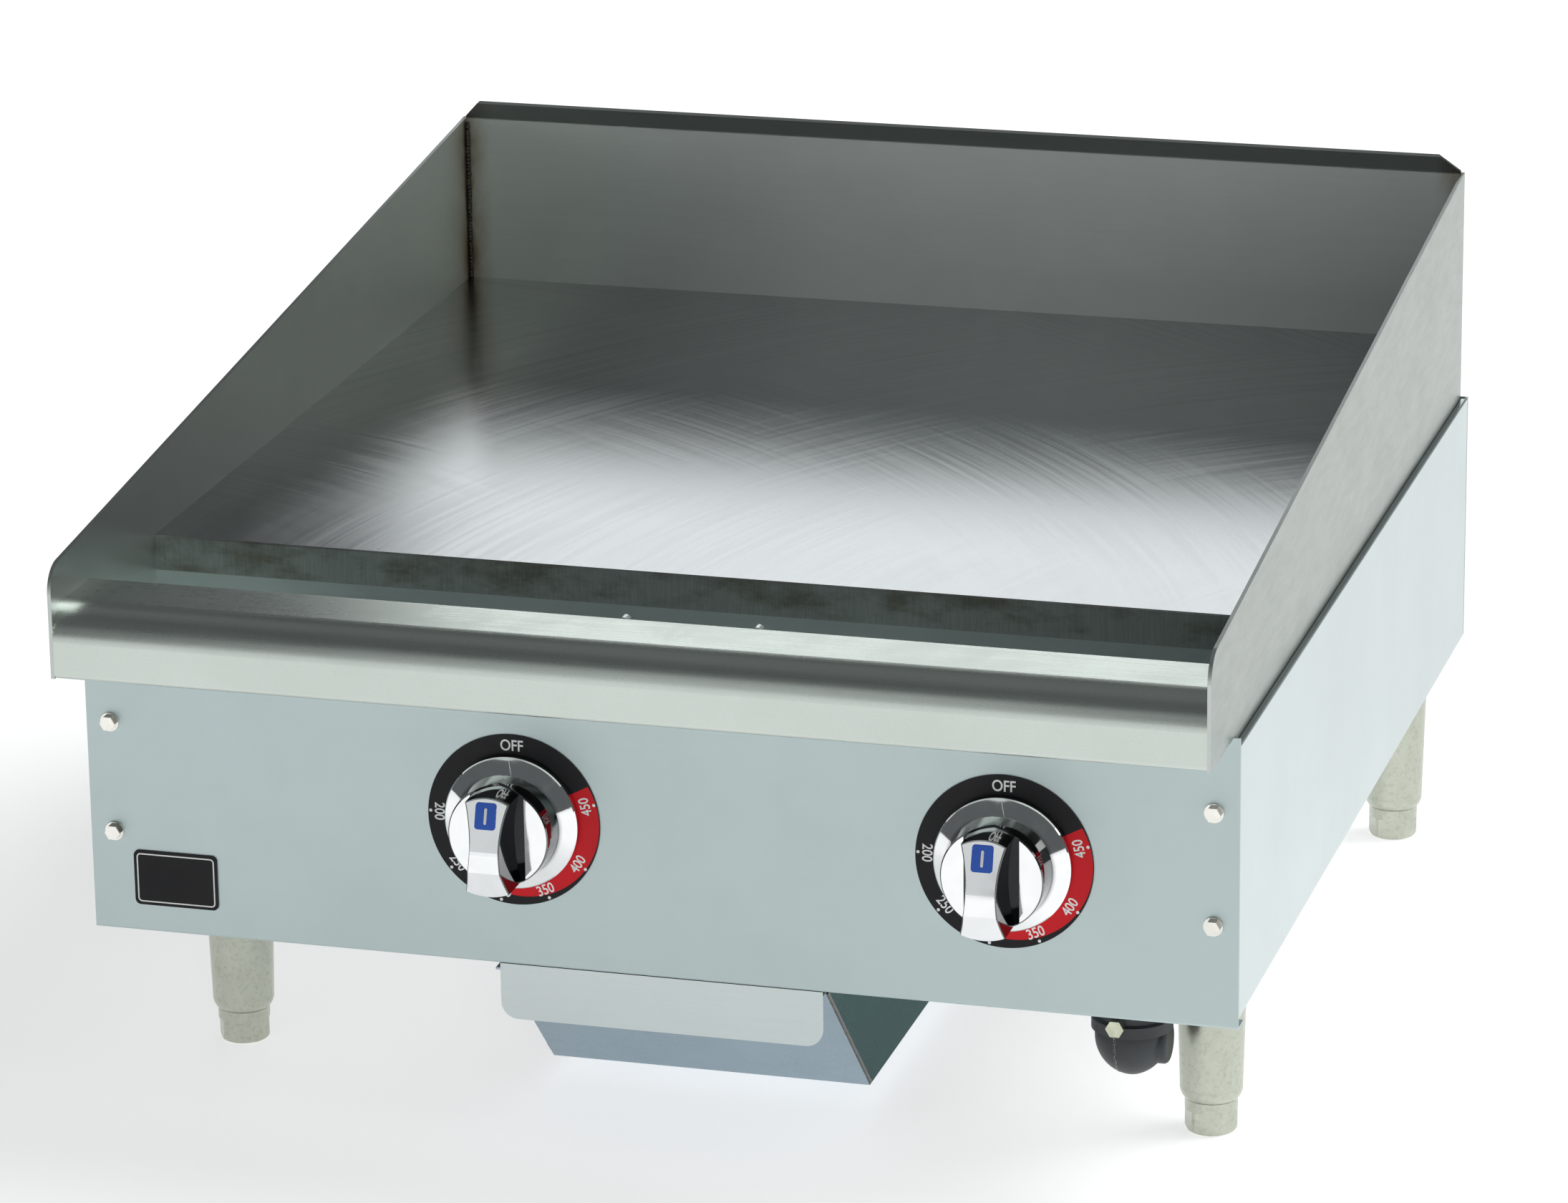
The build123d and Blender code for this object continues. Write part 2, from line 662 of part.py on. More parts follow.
TUBE_DEPTH = 36.0
TUBE_R = 4.75
TUBE_BEND = 14.0
with BuildPart() as supply_tubes:
    for x in DIAL_X:
        route = (
            (x - THERMO_HALF, back(TUBE_DEPTH), BURNER_Z),
            (x + BURNER_SHIFT, back(TUBE_DEPTH), BURNER_Z),
            (x + BURNER_SHIFT, back(SPUD_START), BURNER_Z),
        )
        add(swept_tube(route, TUBE_BEND, TUBE_R).part)
save(supply_tubes, "supply_tubes")

PILOT_DEPTH = 55.0
PILOT_END = 126.0
PILOT_TUBE_R = 2.4
PILOT_TUBE_BEND = 12.0
PILOT_HEX_R = 5.5
PILOT_HEX_LOW = MANIFOLD_Z - 6.0
PILOT_HEX_TOP = MANIFOLD_Z + 8.0
PILOT_NIPPLE_R = 4.0
PILOT_SCREW_R = 2.5
PILOT_SCREW_L = 12.0
with BuildPart() as pilot_valves:
    for x in DIAL_X:
        valve_x = x + PORT_PILOT_X
        with BuildSketch(Plane.XY.offset(PILOT_HEX_LOW)):
            with Locations((valve_x, back(PILOT_DEPTH))):
                RegularPolygon(PILOT_HEX_R, 6, major_radius=False)
        extrude(amount=PILOT_HEX_TOP - PILOT_HEX_LOW)
        round_bar(valve_x, MANIFOLD_Z, PILOT_NIPPLE_R, PILOT_DEPTH, MANIFOLD_D - MANIFOLD_R / 2)
        saddle(valve_x)
        round_bar(valve_x, MANIFOLD_Z, PILOT_SCREW_R, PILOT_DEPTH - PILOT_SCREW_L, PILOT_DEPTH)
save(pilot_valves, "pilot_valves")

with BuildPart() as pilot_tubes:
    for x in DIAL_X:
        route = (
            (x + PORT_PILOT_X, back(PILOT_DEPTH), PILOT_HEX_TOP),
            (x + PORT_PILOT_X, back(PILOT_DEPTH), PILOT_Z),
            (x + PORT_PILOT_X, back(PILOT_END), PILOT_Z),
        )
        add(swept_tube(route, PILOT_TUBE_BEND, PILOT_TUBE_R).part)
save(pilot_tubes, "pilot_tubes")

PILOT_HEAD_R = 4.2
PILOT_HEAD_L = 16.0
HOOD_HALF = 4.0
HOOD_RUN = (PILOT_END + 12.0, PILOT_END + 24.0)
HOOD_HEIGHTS = (PILOT_Z + 2.0, PILOT_Z + 4.5)
POST_HALF = 1.0
POST_RUN = (PILOT_END + 5.0, PILOT_END + 7.0)
POST_TOP = PILOT_Z - 3.0
with BuildPart() as pilot_burners:
    for x in DIAL_X:
        head_x = x + PORT_PILOT_X
        round_bar(head_x, PILOT_Z, PILOT_HEAD_R, PILOT_END, PILOT_END + PILOT_HEAD_L)
        block((head_x - HOOD_HALF, head_x + HOOD_HALF), HOOD_RUN, HOOD_HEIGHTS)
        block((head_x - POST_HALF, head_x + POST_HALF), POST_RUN, (FLOOR_Z, POST_TOP))
save(pilot_burners, "pilot_burners")

# ======== thermostats, dials, knobs ========

SHAFT_R = 4.0
SHAFT_TIP = 24.0
SHAFT_END = 30.0
THERMO_FRONT = 6.0
THERMO_REAR = 52.0
THERMO_LOW = 155.0
THERMO_HIGH = 211.0
THERMO_ROUND = 6.0
THERMO_CHAMFER = 1.5
SNOUT_R = SHAFT_HOLE_R - 0.5
NIPPLE_R = 8.0
SHAFT_FLAT = 2.6          # the shaft's flat lies this far above its axis
SHAFT_FLAT_END = DIAL_T + 2.0


def make_thermostat(x):
    """A gas thermostat: cast block, round snout to the panel, inlet nipple into the manifold."""
    with BuildPart() as valve:
        block((x - THERMO_HALF, x + THERMO_HALF), (THERMO_FRONT, THERMO_REAR), (THERMO_LOW, THERMO_HIGH))
        fillet(valve.edges().filter_by(Axis.Y), THERMO_ROUND)
        chamfer(valve.faces().sort_by(Axis.Y)[0].edges(), THERMO_CHAMFER)
        round_bar(x, DIAL_Z, SNOUT_R, BODY_T + GAP, THERMO_FRONT + SINK)
        round_bar(x, MANIFOLD_Z, NIPPLE_R, THERMO_REAR - SINK, MANIFOLD_D - MANIFOLD_R / 2)
        saddle(x)
        bore(x, DIAL_Z, SHAFT_R + RUN, 0, SHAFT_END + GAP)
    return valve


def make_shaft(x):
    """The thermostat's stem, with a flat for the knob."""
    with BuildPart() as stem:
        round_bar(x, DIAL_Z, SHAFT_R, -SHAFT_TIP, SHAFT_END)
        block(
            (x - SHAFT_R, x + SHAFT_R),
            (-SHAFT_TIP - CUT, -SHAFT_FLAT_END),
            (DIAL_Z + SHAFT_FLAT, DIAL_Z + SHAFT_R + CUT),
            Mode.SUBTRACT,
        )
    return stem


def make_dial(x):
    """The round dial plate under the knob."""
    with BuildPart() as dial:
        round_bar(x, DIAL_Z, DIAL_R, -DIAL_T, 0)
        bore(x, DIAL_Z, SHAFT_HOLE_R, *through(-DIAL_T, DIAL_T))
    return dial


SKIRT_R = 35.5
SKIRT_BACK = 1.6          # clearance from the knob's back to the panel face
SKIRT_RIM = 6.0
SKIRT_DRAFT = 0.5
SKIRT_EDGE = 0.6
RING_R = 27.5
RING_H = 10.5
HUB_R = 26.3
HUB_DRAFT = 0.3
HUB_EDGE = 0.7
LOBE_H = 27.0
LOBE_EDGE = 14.3          # the hub's flat lobes begin this far from the knob's middle
VALLEY_H = 20.6           # between the lobes the hub slopes down to this height
WAIST = 8.0               # half the grip's width at its narrowest
GRIP_SIDE_R = 77.4        # the grip's sides are arcs of this radius
GRIP_TOP_END = (30.0, 40.4)      # distance above the knob's axis, height off the panel
GRIP_CROWN = (8.0, 48.0)
GRIP_RIDGE = (-11.0, 51.3)
GRIP_LOW_END = (-30.0, 43.0)
GRIP_ROUND = 0.7
GRIP_END_R = HUB_R - 0.2
POINTER_RISE = 0.7
POINTER_HALF = 2.8
POINTER_START = RING_R - 0.5
POINTER_END = SKIRT_R - 0.8
KNOB_FIT = 0.02           # radial clearance between the knob and its shaft


def clear_above_grip(x, lift, top):
    """Cuts away everything in front of the grip's two sloping faces, raised by `lift`."""
    high, crown, ridge, low = (
        (FACE - height - lift, DIAL_Z + above)
        for above, height in (GRIP_TOP_END, GRIP_CROWN, GRIP_RIDGE, GRIP_LOW_END)
    )
    with BuildSketch(Plane.YZ.offset(x - SKIRT_R)) as profile:
        with BuildLine():
            ThreePointArc(high, crown, ridge)
            Polyline(ridge, low, (FACE - top, low[1]), (FACE - top, high[1]), high)
        make_face()
    extrude(profile.sketch, amount=2 * SKIRT_R, mode=Mode.SUBTRACT)


def make_pointer(x):
    """The raised pointer at the top of the knob's skirt, with the skirt's slope."""
    with BuildPart() as pointer:
        with BuildSketch(turning_plane(x, DIAL_Z)):
            Polygon(
                (RING_R - SINK, SKIRT_BACK + SINK),
                (SKIRT_R - SKIRT_EDGE, SKIRT_BACK + SINK),
                (SKIRT_R - SKIRT_EDGE, SKIRT_RIM + POINTER_RISE),
                (RING_R, RING_H + POINTER_RISE),
                (RING_R - SINK, RING_H + POINTER_RISE),
                align=None,
            )
        revolve(axis=front_axis(x, DIAL_Z))
        with BuildSketch(facing_plane(x, 0, DIAL_Z)):
            Polygon(
                (-POINTER_HALF, POINTER_START),
                (POINTER_HALF, POINTER_START),
                (0, POINTER_END),
                align=None,
            )
        extrude(amount=LOBE_H, mode=Mode.INTERSECT)
    return pointer


def make_knob(x):
    """A turned skirt and hub with a waisted, ridged grip across the valley between two flat lobes."""
    with BuildPart() as knob:
        with BuildSketch(turning_plane(x, DIAL_Z)):
            Polygon(
                (0, SKIRT_BACK),
                (SKIRT_R - SKIRT_DRAFT, SKIRT_BACK),
                (SKIRT_R, SKIRT_RIM - SKIRT_EDGE),
                (SKIRT_R - SKIRT_EDGE, SKIRT_RIM),
                (RING_R, RING_H),
                (HUB_R + HUB_DRAFT, LOBE_H - HUB_EDGE),
                (HUB_R + HUB_DRAFT - HUB_EDGE, LOBE_H),
                (0, LOBE_H),
                align=None,
            )
        revolve(axis=front_axis(x, DIAL_Z))
        with BuildSketch(turning_plane(x, DIAL_Z + SKIRT_R)):
            Polygon(
                (-LOBE_EDGE, LOBE_H),
                (0, VALLEY_H),
                (LOBE_EDGE, LOBE_H),
                (LOBE_EDGE, LOBE_H + CUT),
                (-LOBE_EDGE, LOBE_H + CUT),
                align=None,
            )
        extrude(amount=2 * SKIRT_R, mode=Mode.SUBTRACT)
        with BuildSketch(facing_plane(x, -RING_H, DIAL_Z)):
            Circle(GRIP_END_R)
            with Locations((-GRIP_SIDE_R - WAIST, 0), (GRIP_SIDE_R + WAIST, 0)):
                Circle(GRIP_SIDE_R, mode=Mode.SUBTRACT)
        extrude(amount=2 * LOBE_H)
        clear_above_grip(x, 0, RING_H + 2 * LOBE_H + CUT)
        add(make_pointer(x).part)
        grip_edges = knob.edges().filter_by(lambda edge: edge.center().Y < FACE - GRIP_TOP_END[1] + CUT)
        fillet(grip_edges, GRIP_ROUND)
        bore(x, DIAL_Z, SHAFT_R + KNOB_FIT, -SHAFT_TIP - GAP, 0)
    return knob


BADGE_RISE = 0.4
BADGE_MIDDLE = 17.6
BADGE_W = 11.0
BADGE_H = 13.0
BADGE_CORNER_R = 1.6


def make_badge(x, knob):
    """The coloured inlay near the top of the grip, following its face."""
    with BuildPart() as badge:
        with BuildSketch(facing_plane(x, -LOBE_H, DIAL_Z + BADGE_MIDDLE)):
            RectangleRounded(BADGE_W, BADGE_H, BADGE_CORNER_R)
        extrude(amount=LOBE_H)
        clear_above_grip(x, BADGE_RISE, 2 * LOBE_H + CUT)
        add(knob.part, mode=Mode.SUBTRACT)
    return badge


CAPILLARY_R = 1.2
CAPILLARY_DEPTH = 140.0   # where the capillary rises to the plate
CAPILLARY_BEND = 18.0
BULB_R = 3.0
BULB_GAP = 0.2
BULB_Z = PLATE_Z - BULB_R - BULB_GAP
BULB_FRONT = 250.0
BULB_REAR = 400.0


def make_sensing_bulb(x):
    """The thermostat's capillary and its bulb under the cooking plate."""
    line_x = x + CAPILLARY_X
    route = (
        (line_x, back(THERMO_REAR), CAPILLARY_Z),
        (line_x, back(CAPILLARY_DEPTH), CAPILLARY_Z),
        (line_x, back(CAPILLARY_DEPTH), BULB_Z),
        (line_x, back(BULB_FRONT), BULB_Z),
    )
    with BuildPart() as bulb:
        add(swept_tube(route, CAPILLARY_BEND, CAPILLARY_R).part)
        round_bar(line_x, BULB_Z, BULB_R, BULB_FRONT - SINK, BULB_REAR)
    return bulb


for hand, x in zip(HANDS, DIAL_X):
    save(make_thermostat(x), f"{hand}_thermostat")
    save(make_shaft(x), f"{hand}_thermostat_shaft")
    save(make_dial(x), f"{hand}_dial")
    knob = make_knob(x)
    save(knob, f"{hand}_knob")
    save(make_badge(x, knob), f"{hand}_knob_badge")
    save(make_sensing_bulb(x), f"{hand}_sensing_bulb")

CLIP_STARTS = (269.0, 369.0)
CLIP_L = 12.0
CLIP_HALF = 9.0
CLIP_T = 1.5
with BuildPart() as bulb_clips:
    for x in DIAL_X:
        clip_x = x + CAPILLARY_X
        for start in CLIP_STARTS:
            block(
                (clip_x - CLIP_HALF, clip_x + CLIP_HALF),
                (start, start + CLIP_L),
                (BULB_Z - BULB_R - CLIP_T, PLATE_Z),
            )
            bore(clip_x, BULB_Z, BULB_R + RUN, *through(start, CLIP_L))
save(bulb_clips, "bulb_clips")

# ======== manifold, regulator, gas inlet ========

MANIFOLD_END = -112.0
ELBOW_R = 24.0
REG_TOP = 144.0
manifold_route = (
    (MANIFOLD_END, back(MANIFOLD_D), MANIFOLD_Z),
    (REG_X, back(MANIFOLD_D), MANIFOLD_Z),
    (REG_X, back(MANIFOLD_D), REG_TOP),
)
gas_manifold = swept_tube(manifold_route, ELBOW_R, MANIFOLD_R)
save(gas_manifold, "gas_manifold")

CAP_R = MANIFOLD_R + 2.0
CAP_L = 8.0
CAP_SQUARE = 12.0
with BuildPart() as manifold_plug:
    with BuildSketch(Plane.YZ.offset(MANIFOLD_END)):
        with Locations((back(MANIFOLD_D), MANIFOLD_Z)):
            Circle(CAP_R)
    extrude(amount=-CAP_L)
    with BuildSketch(Plane.YZ.offset(MANIFOLD_END - CAP_L)):
        with Locations((back(MANIFOLD_D), MANIFOLD_Z)):
            Rectangle(CAP_SQUARE, CAP_SQUARE)
    extrude(amount=-CAP_L)
save(manifold_plug, "manifold_plug")

REG_R = 19.0
REG_RIM_R = 21.2
REG_RIM_Z = 66.6
REG_RIM_H = 6.9
REG_RIM_EDGE = 0.8
REG_TIP_R = 3.0
REG_DOME = (14.4, 48.9)   # a point on the domed underside: radius, height
REG_SHOULDER_LOW = PAN_Z - 2.0
REG_SHOULDER_TOP = PAN_Z + 1.0
REG_NECK_R = 14.0
REG_CAP_R = 11.5          # the spring cap on the regulator's right side
REG_CAP_Z = 60.0
REG_CAP_OUT = 20.0
REG_CAP_ROUND = 2.5
REG_PORT_R = PIPE_R + 3.5
REG_PORT_END = 94.0
REG_PORT_START = 85.0
with BuildPart() as regulator:
    with BuildSketch(Plane.YZ.offset(REG_X)):
        with Locations((back(MANIFOLD_D), REG_CAP_Z)):
            Circle(REG_CAP_R)
    extrude(amount=REG_CAP_OUT)
    fillet(regulator.faces().sort_by(Axis.X)[-1].edges(), REG_CAP_ROUND)
    with BuildSketch(upright_plane(REG_X, back(MANIFOLD_D))):
        with BuildLine():
            Line((0, REG_BOTTOM), (REG_TIP_R, REG_BOTTOM))
            ThreePointArc((REG_TIP_R, REG_BOTTOM), REG_DOME, (REG_R, REG_RIM_Z))
            Polyline(
                (REG_R, REG_RIM_Z),
                (REG_RIM_R, REG_RIM_Z + REG_RIM_EDGE),
                (REG_RIM_R, REG_RIM_Z + REG_RIM_H),
                (REG_R, REG_RIM_Z + REG_RIM_H + REG_RIM_EDGE),
                (REG_R, REG_SHOULDER_LOW),
                (REG_NECK_R, REG_SHOULDER_TOP),
                (REG_NECK_R, REG_TOP),
                (0, REG_TOP),
                (0, REG_BOTTOM),
            )
        make_face()
    revolve(axis=Axis((REG_X, back(MANIFOLD_D), 0), (0, 0, 1)))
    with BuildSketch(facing_plane(REG_X, REG_PORT_END, PIPE_Z)):
        Circle(REG_PORT_R)
    extrude(amount=REG_PORT_END - MANIFOLD_D)
    bore(REG_X, PIPE_Z, PIPE_R, REG_PORT_START, REG_PORT_END + CUT)
save(regulator, "regulator")

PLUG_X = REG_X - 4.0
PLUG_Z = 73.5
PLUG_FLATS = 4.2
PLUG_ROOT = MANIFOLD_D - REG_R + 5.0
PLUG_FRONT = MANIFOLD_D - REG_RIM_R - 2.5
with BuildPart() as regulator_plug:
    with BuildSketch(facing_plane(PLUG_X, PLUG_ROOT, PLUG_Z)):
        RegularPolygon(PLUG_FLATS, 6, major_radius=False)
    extrude(amount=PLUG_ROOT - PLUG_FRONT)
    add(regulator.part, mode=Mode.SUBTRACT)
save(regulator_plug, "regulator_plug")

THREAD_L = 20.0
PIPE_BORE_R = 10.5
PIPE_BORE_START = REG_PORT_START + 8.0
with BuildPart() as gas_inlet_pipe:
    round_bar(REG_X, PIPE_Z, PIPE_R, REG_PORT_START, BODY_D + PIPE_OUT - THREAD_L)
    round_bar(REG_X, PIPE_Z, THREAD_R, BODY_D + PIPE_OUT - THREAD_L, BODY_D + PIPE_OUT)
    bore(REG_X, PIPE_Z, PIPE_BORE_R, PIPE_BORE_START, BODY_D + PIPE_OUT + CUT)
save(gas_inlet_pipe, "gas_inlet_pipe")

# ======== grease drawer ========

SLOPE_TOP_DEPTH = 10.0
TRAY_FLANGE = 9.0
TRAY_FLANGE_RUN = (SLOPE_TOP_DEPTH + 15.0, TRAY_END - 4.0)
PLATE_GAP = 1.0
DRAWER_PLATE_T = 1.5
DRAWER_PLATE_LOW = 71.0
DRAWER_PLATE_TOP = PANEL_Z - GAP
DRAWER_PLATE_X = 3.0
DRAWER_PLATE_HALF = 86.0
TRAY_DEPTH = TRAY_TOP - TRAY_Z
RUNNER_LIP = TRAY_TOP - TRAY_T - GAP

with BuildPart() as grease_tray:
    outline = (
        (back(SLOPE_TOP_DEPTH), TRAY_TOP),
        (back(SLOPE_TOP_DEPTH + TRAY_DEPTH), TRAY_Z),
        (back(TRAY_END), TRAY_Z),
        (back(TRAY_END), TRAY_TOP),
    )
    with BuildSketch(Plane.YZ.offset(DRAWER_X - DRAWER_HALF)):
        with BuildLine():
            Polyline(*outline, close=True)
        make_face()
    extrude(amount=2 * DRAWER_HALF)
    top = grease_tray.faces().sort_by(Axis.Z)[-1]
    offset(amount=-TRAY_T, openings=top)
    for side in SIDES.values():
        wall = DRAWER_X + side * DRAWER_HALF
        block(
            sorted((wall, wall + side * TRAY_FLANGE)),
            TRAY_FLANGE_RUN,
            (TRAY_TOP - TRAY_T, TRAY_TOP),
        )
    block(
        (DRAWER_X - DRAWER_HALF, DRAWER_X + DRAWER_HALF),
        (PLATE_GAP + DRAWER_PLATE_T, SLOPE_TOP_DEPTH + TRAY_T / 2),
        (TRAY_TOP - TRAY_T, TRAY_TOP),
    )
save(grease_tray, "grease_tray")

DRAWER_CORNER_R = 9.0
PLATE_MID_Z = (DRAWER_PLATE_LOW + DRAWER_PLATE_TOP) / 2
with BuildPart() as drawer_front:
    with BuildSketch(facing_plane(DRAWER_PLATE_X, PLATE_GAP + DRAWER_PLATE_T, PLATE_MID_Z)) as face:
        Rectangle(2 * DRAWER_PLATE_HALF, DRAWER_PLATE_TOP - DRAWER_PLATE_LOW)
        fillet(face.vertices().group_by(Axis.Y)[0], DRAWER_CORNER_R)
    extrude(amount=DRAWER_PLATE_T)
save(drawer_front, "drawer_front")

RUNNER_WEB = DRAWER_HALF + TRAY_FLANGE + 1.5
RUNNER_RUN = (26.0, TRAY_END + 3.0)
RUNNER_T = 1.5
RUNNER_SHELF = 6.0
RUNNER_FLANGE = 14.0
with BuildPart() as drawer_runners:
    for side in SIDES.values():
        web = DRAWER_X + side * RUNNER_WEB
        block(sorted((web, web + side * RUNNER_T)), RUNNER_RUN, (RUNNER_LIP - RUNNER_T, PAN_Z))
        block(sorted((web, web - side * RUNNER_SHELF)), RUNNER_RUN, (RUNNER_LIP - RUNNER_T, RUNNER_LIP))
        block(sorted((web, web + side * RUNNER_FLANGE)), RUNNER_RUN, (PAN_Z - RUNNER_T, PAN_Z))
save(drawer_runners, "drawer_runners")

# ======== legs and levelling feet ========

LEG_TOP_R = 18.8
LEG_LOW_R = 16.5
SHOULDER = 7.0
SHOULDER_END_R = FOOT_R + GAP     # the shoulder closes onto the foot's collar
SHOULDER_IN = 0.6
SHOULDER_UP = 2.6
LEG_LOW = FOOT_H + GAP
BORE_TOP = 64.0
STUD_TOP = 56.0
THREAD_TOP = PAN_Z + 14.0
FOOT_ROUND = 3.0
FLAT_R = 12.5              # half the foot's width across its wrench flats
COLLAR_H = 6.0


def make_leg(x, y):
    """A tapered leg with a rounded lower shoulder, bored for the foot and studded on top."""
    with BuildPart() as leg:
        with BuildSketch(upright_plane(x, y)):
            with BuildLine():
                Line((SHOULDER_END_R, LEG_LOW), (STUD_R + RUN, LEG_LOW))
                Polyline((STUD_R + RUN, LEG_LOW), (STUD_R + RUN, BORE_TOP), (0, BORE_TOP), (0, THREAD_TOP))
                Polyline((0, THREAD_TOP), (LEG_STUD_R, THREAD_TOP), (LEG_STUD_R, PAN_Z), (LEG_TOP_R, PAN_Z))
                Line((LEG_TOP_R, PAN_Z), (LEG_LOW_R, LEG_LOW + SHOULDER))
                ThreePointArc(
                    (LEG_LOW_R, LEG_LOW + SHOULDER),
                    (LEG_LOW_R - SHOULDER_IN, LEG_LOW + SHOULDER_UP),
                    (SHOULDER_END_R, LEG_LOW),
                )
            make_face()
        revolve(axis=Axis((x, y, 0), (0, 0, 1)))
    return leg


def make_foot(x, y):
    """A levelling foot: threaded stud, round collar, wrench flats, rounded base."""
    with BuildPart() as foot:
        with BuildSketch(Plane.XY):
            with Locations((x, y)):
                Circle(FOOT_R)
        extrude(amount=FOOT_H)
        fillet(foot.edges().sort_by(Axis.Z)[0], FOOT_ROUND)
        with BuildSketch(Plane.XY):
            with Locations((x, y)):
                Circle(FOOT_R + CUT)
                RegularPolygon(FLAT_R, 6, major_radius=False, mode=Mode.SUBTRACT)
        extrude(amount=FOOT_H - COLLAR_H, mode=Mode.SUBTRACT)
        with BuildSketch(Plane.XY.offset(FOOT_H)):
            with Locations((x, y)):
                Circle(STUD_R)
        extrude(amount=STUD_TOP - FOOT_H)
    return foot


PLACES = {
    f"{row}_{hand}": (side * leg_x, back(depth))
    for row, (leg_x, depth) in LEG_SPOTS.items()
    for hand, side in SIDES.items()
}
for place, (x, y) in PLACES.items():
    save(make_leg(x, y), f"leg_{place}")
    save(make_foot(x, y), f"foot_{place}")

NUT_FLAT_R = 8.0
NUT_H = 8.0
with BuildPart() as leg_nuts:
    for x, y in PLACES.values():
        with BuildSketch(Plane.XY.offset(FLOOR_Z)):
            with Locations((x, y)):
                RegularPolygon(NUT_FLAT_R, 6, major_radius=False)
                Circle(LEG_STUD_R, mode=Mode.SUBTRACT)
        extrude(amount=NUT_H)
save(leg_nuts, "leg_nuts")
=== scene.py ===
import bpy
import bmesh
import json
import math
import random
from mathutils import Matrix, Vector
from mathutils.bvhtree import BVHTree


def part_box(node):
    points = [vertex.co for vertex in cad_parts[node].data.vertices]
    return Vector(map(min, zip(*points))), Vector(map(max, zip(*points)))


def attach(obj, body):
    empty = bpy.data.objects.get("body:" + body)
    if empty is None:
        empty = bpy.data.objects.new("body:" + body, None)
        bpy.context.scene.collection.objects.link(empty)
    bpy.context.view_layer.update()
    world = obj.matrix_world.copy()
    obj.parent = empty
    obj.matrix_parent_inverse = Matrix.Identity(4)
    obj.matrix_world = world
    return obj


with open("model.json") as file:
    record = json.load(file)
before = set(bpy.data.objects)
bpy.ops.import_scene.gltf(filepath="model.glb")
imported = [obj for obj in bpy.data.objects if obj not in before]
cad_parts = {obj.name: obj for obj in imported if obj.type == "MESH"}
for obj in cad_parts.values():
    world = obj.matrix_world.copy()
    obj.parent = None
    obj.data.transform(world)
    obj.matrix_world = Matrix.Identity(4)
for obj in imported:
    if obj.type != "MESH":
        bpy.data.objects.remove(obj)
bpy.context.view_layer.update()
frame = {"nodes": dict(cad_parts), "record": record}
NODES = frame["nodes"]
SLOT_OF = {part["node"]: part["material_slot"] for part in frame["record"]["subparts"]}
HANDS = ("left", "right")


# ---------------------------------------------------------------- camera and studio

CAMERA_AT = Vector((0.9432, -3.3273, 1.3379))
CAMERA_YAW = math.radians(16.05)
CAMERA_PITCH = math.radians(18.08)
CAMERA_ROLL = math.radians(-0.78)
CAMERA_LENS = 152.5
SENSOR = 36.0
CLIP_END = 60.0
FLOOR_HALF = 14.0
WORLD_STRENGTH = 0.11
KEY_STRENGTH = 1.55
KEY_SPREAD = math.radians(40.0)
KEY_DIRECTION = Vector((-0.62, -0.34, -0.71))
FLOOR_GLOW = 0.60
# each softbox: name, where it stands, what it is aimed at, its size in metres, its watts, its tint
SOFTBOXES = (
    ("backdrop", (-0.52, 2.55, 1.26), (-0.1, 0.0, 0.3), (1.2, 0.62), 5.2, (0.97, 1.0, 1.0)),
    ("front_card", (-1.2, -4.6, 1.5), (0.0, -0.3, 0.2), (0.85, 2.9), 4.6, (0.98, 1.0, 1.0)),
    ("camera_box", (1.48, -3.9, 1.62), (0.0, 0.2, 0.35), (0.30, 0.5), 7.5, (1.0, 0.97, 0.86)),
    ("overhead", (-0.4, 0.3, 3.2), (-0.2, 0.0, 0.3), (2.4, 2.4), 1.2, (1.0, 1.0, 1.0)),
    ("right_fill", (3.4, -0.9, 2.1), (-0.2, 0.0, 0.3), (1.8, 1.4), 14.0, (1.0, 0.99, 0.94)),
)


def make_camera():
    """The camera stands to the right of the front and looks down at the griddle."""
    ahead = Vector((-math.sin(CAMERA_YAW) * math.cos(CAMERA_PITCH),
                    math.cos(CAMERA_YAW) * math.cos(CAMERA_PITCH),
                    -math.sin(CAMERA_PITCH)))
    level = Vector((math.cos(CAMERA_YAW), math.sin(CAMERA_YAW), 0.0))
    upward = level.cross(ahead)
    right = math.cos(CAMERA_ROLL) * level + math.sin(CAMERA_ROLL) * upward
    up = math.cos(CAMERA_ROLL) * upward - math.sin(CAMERA_ROLL) * level
    data = bpy.data.cameras.new("camera")
    data.lens = CAMERA_LENS
    data.sensor_width = SENSOR
    data.clip_end = CLIP_END
    camera = bpy.data.objects.new("camera", data)
    turn = Matrix((right, up, -ahead)).transposed()
    camera.matrix_world = Matrix.Translation(CAMERA_AT) @ turn.to_4x4()
    bpy.context.scene.collection.objects.link(camera)
    bpy.context.scene.camera = camera


def softbox(name, at, aim, size, watts, tint):
    """A rectangular area light at one point, aimed at another."""
    data = bpy.data.lights.new(name, "AREA")
    data.shape = "RECTANGLE"
    data.size, data.size_y = size
    data.energy = watts
    data.color = tint
    light = bpy.data.objects.new(name, data)
    light.location = at
    light.rotation_mode = "QUATERNION"
    light.rotation_quaternion = (Vector(aim) - Vector(at)).to_track_quat("-Z", "Y")
    bpy.context.scene.collection.objects.link(light)


def make_key():
    """A very soft key light from above, behind on the right."""
    data = bpy.data.lights.new("key", "SUN")
    data.energy = KEY_STRENGTH
    data.angle = KEY_SPREAD
    key = bpy.data.objects.new("key", data)
    key.rotation_mode = "QUATERNION"
    key.rotation_quaternion = KEY_DIRECTION.to_track_quat("-Z", "Y")
    bpy.context.scene.collection.objects.link(key)


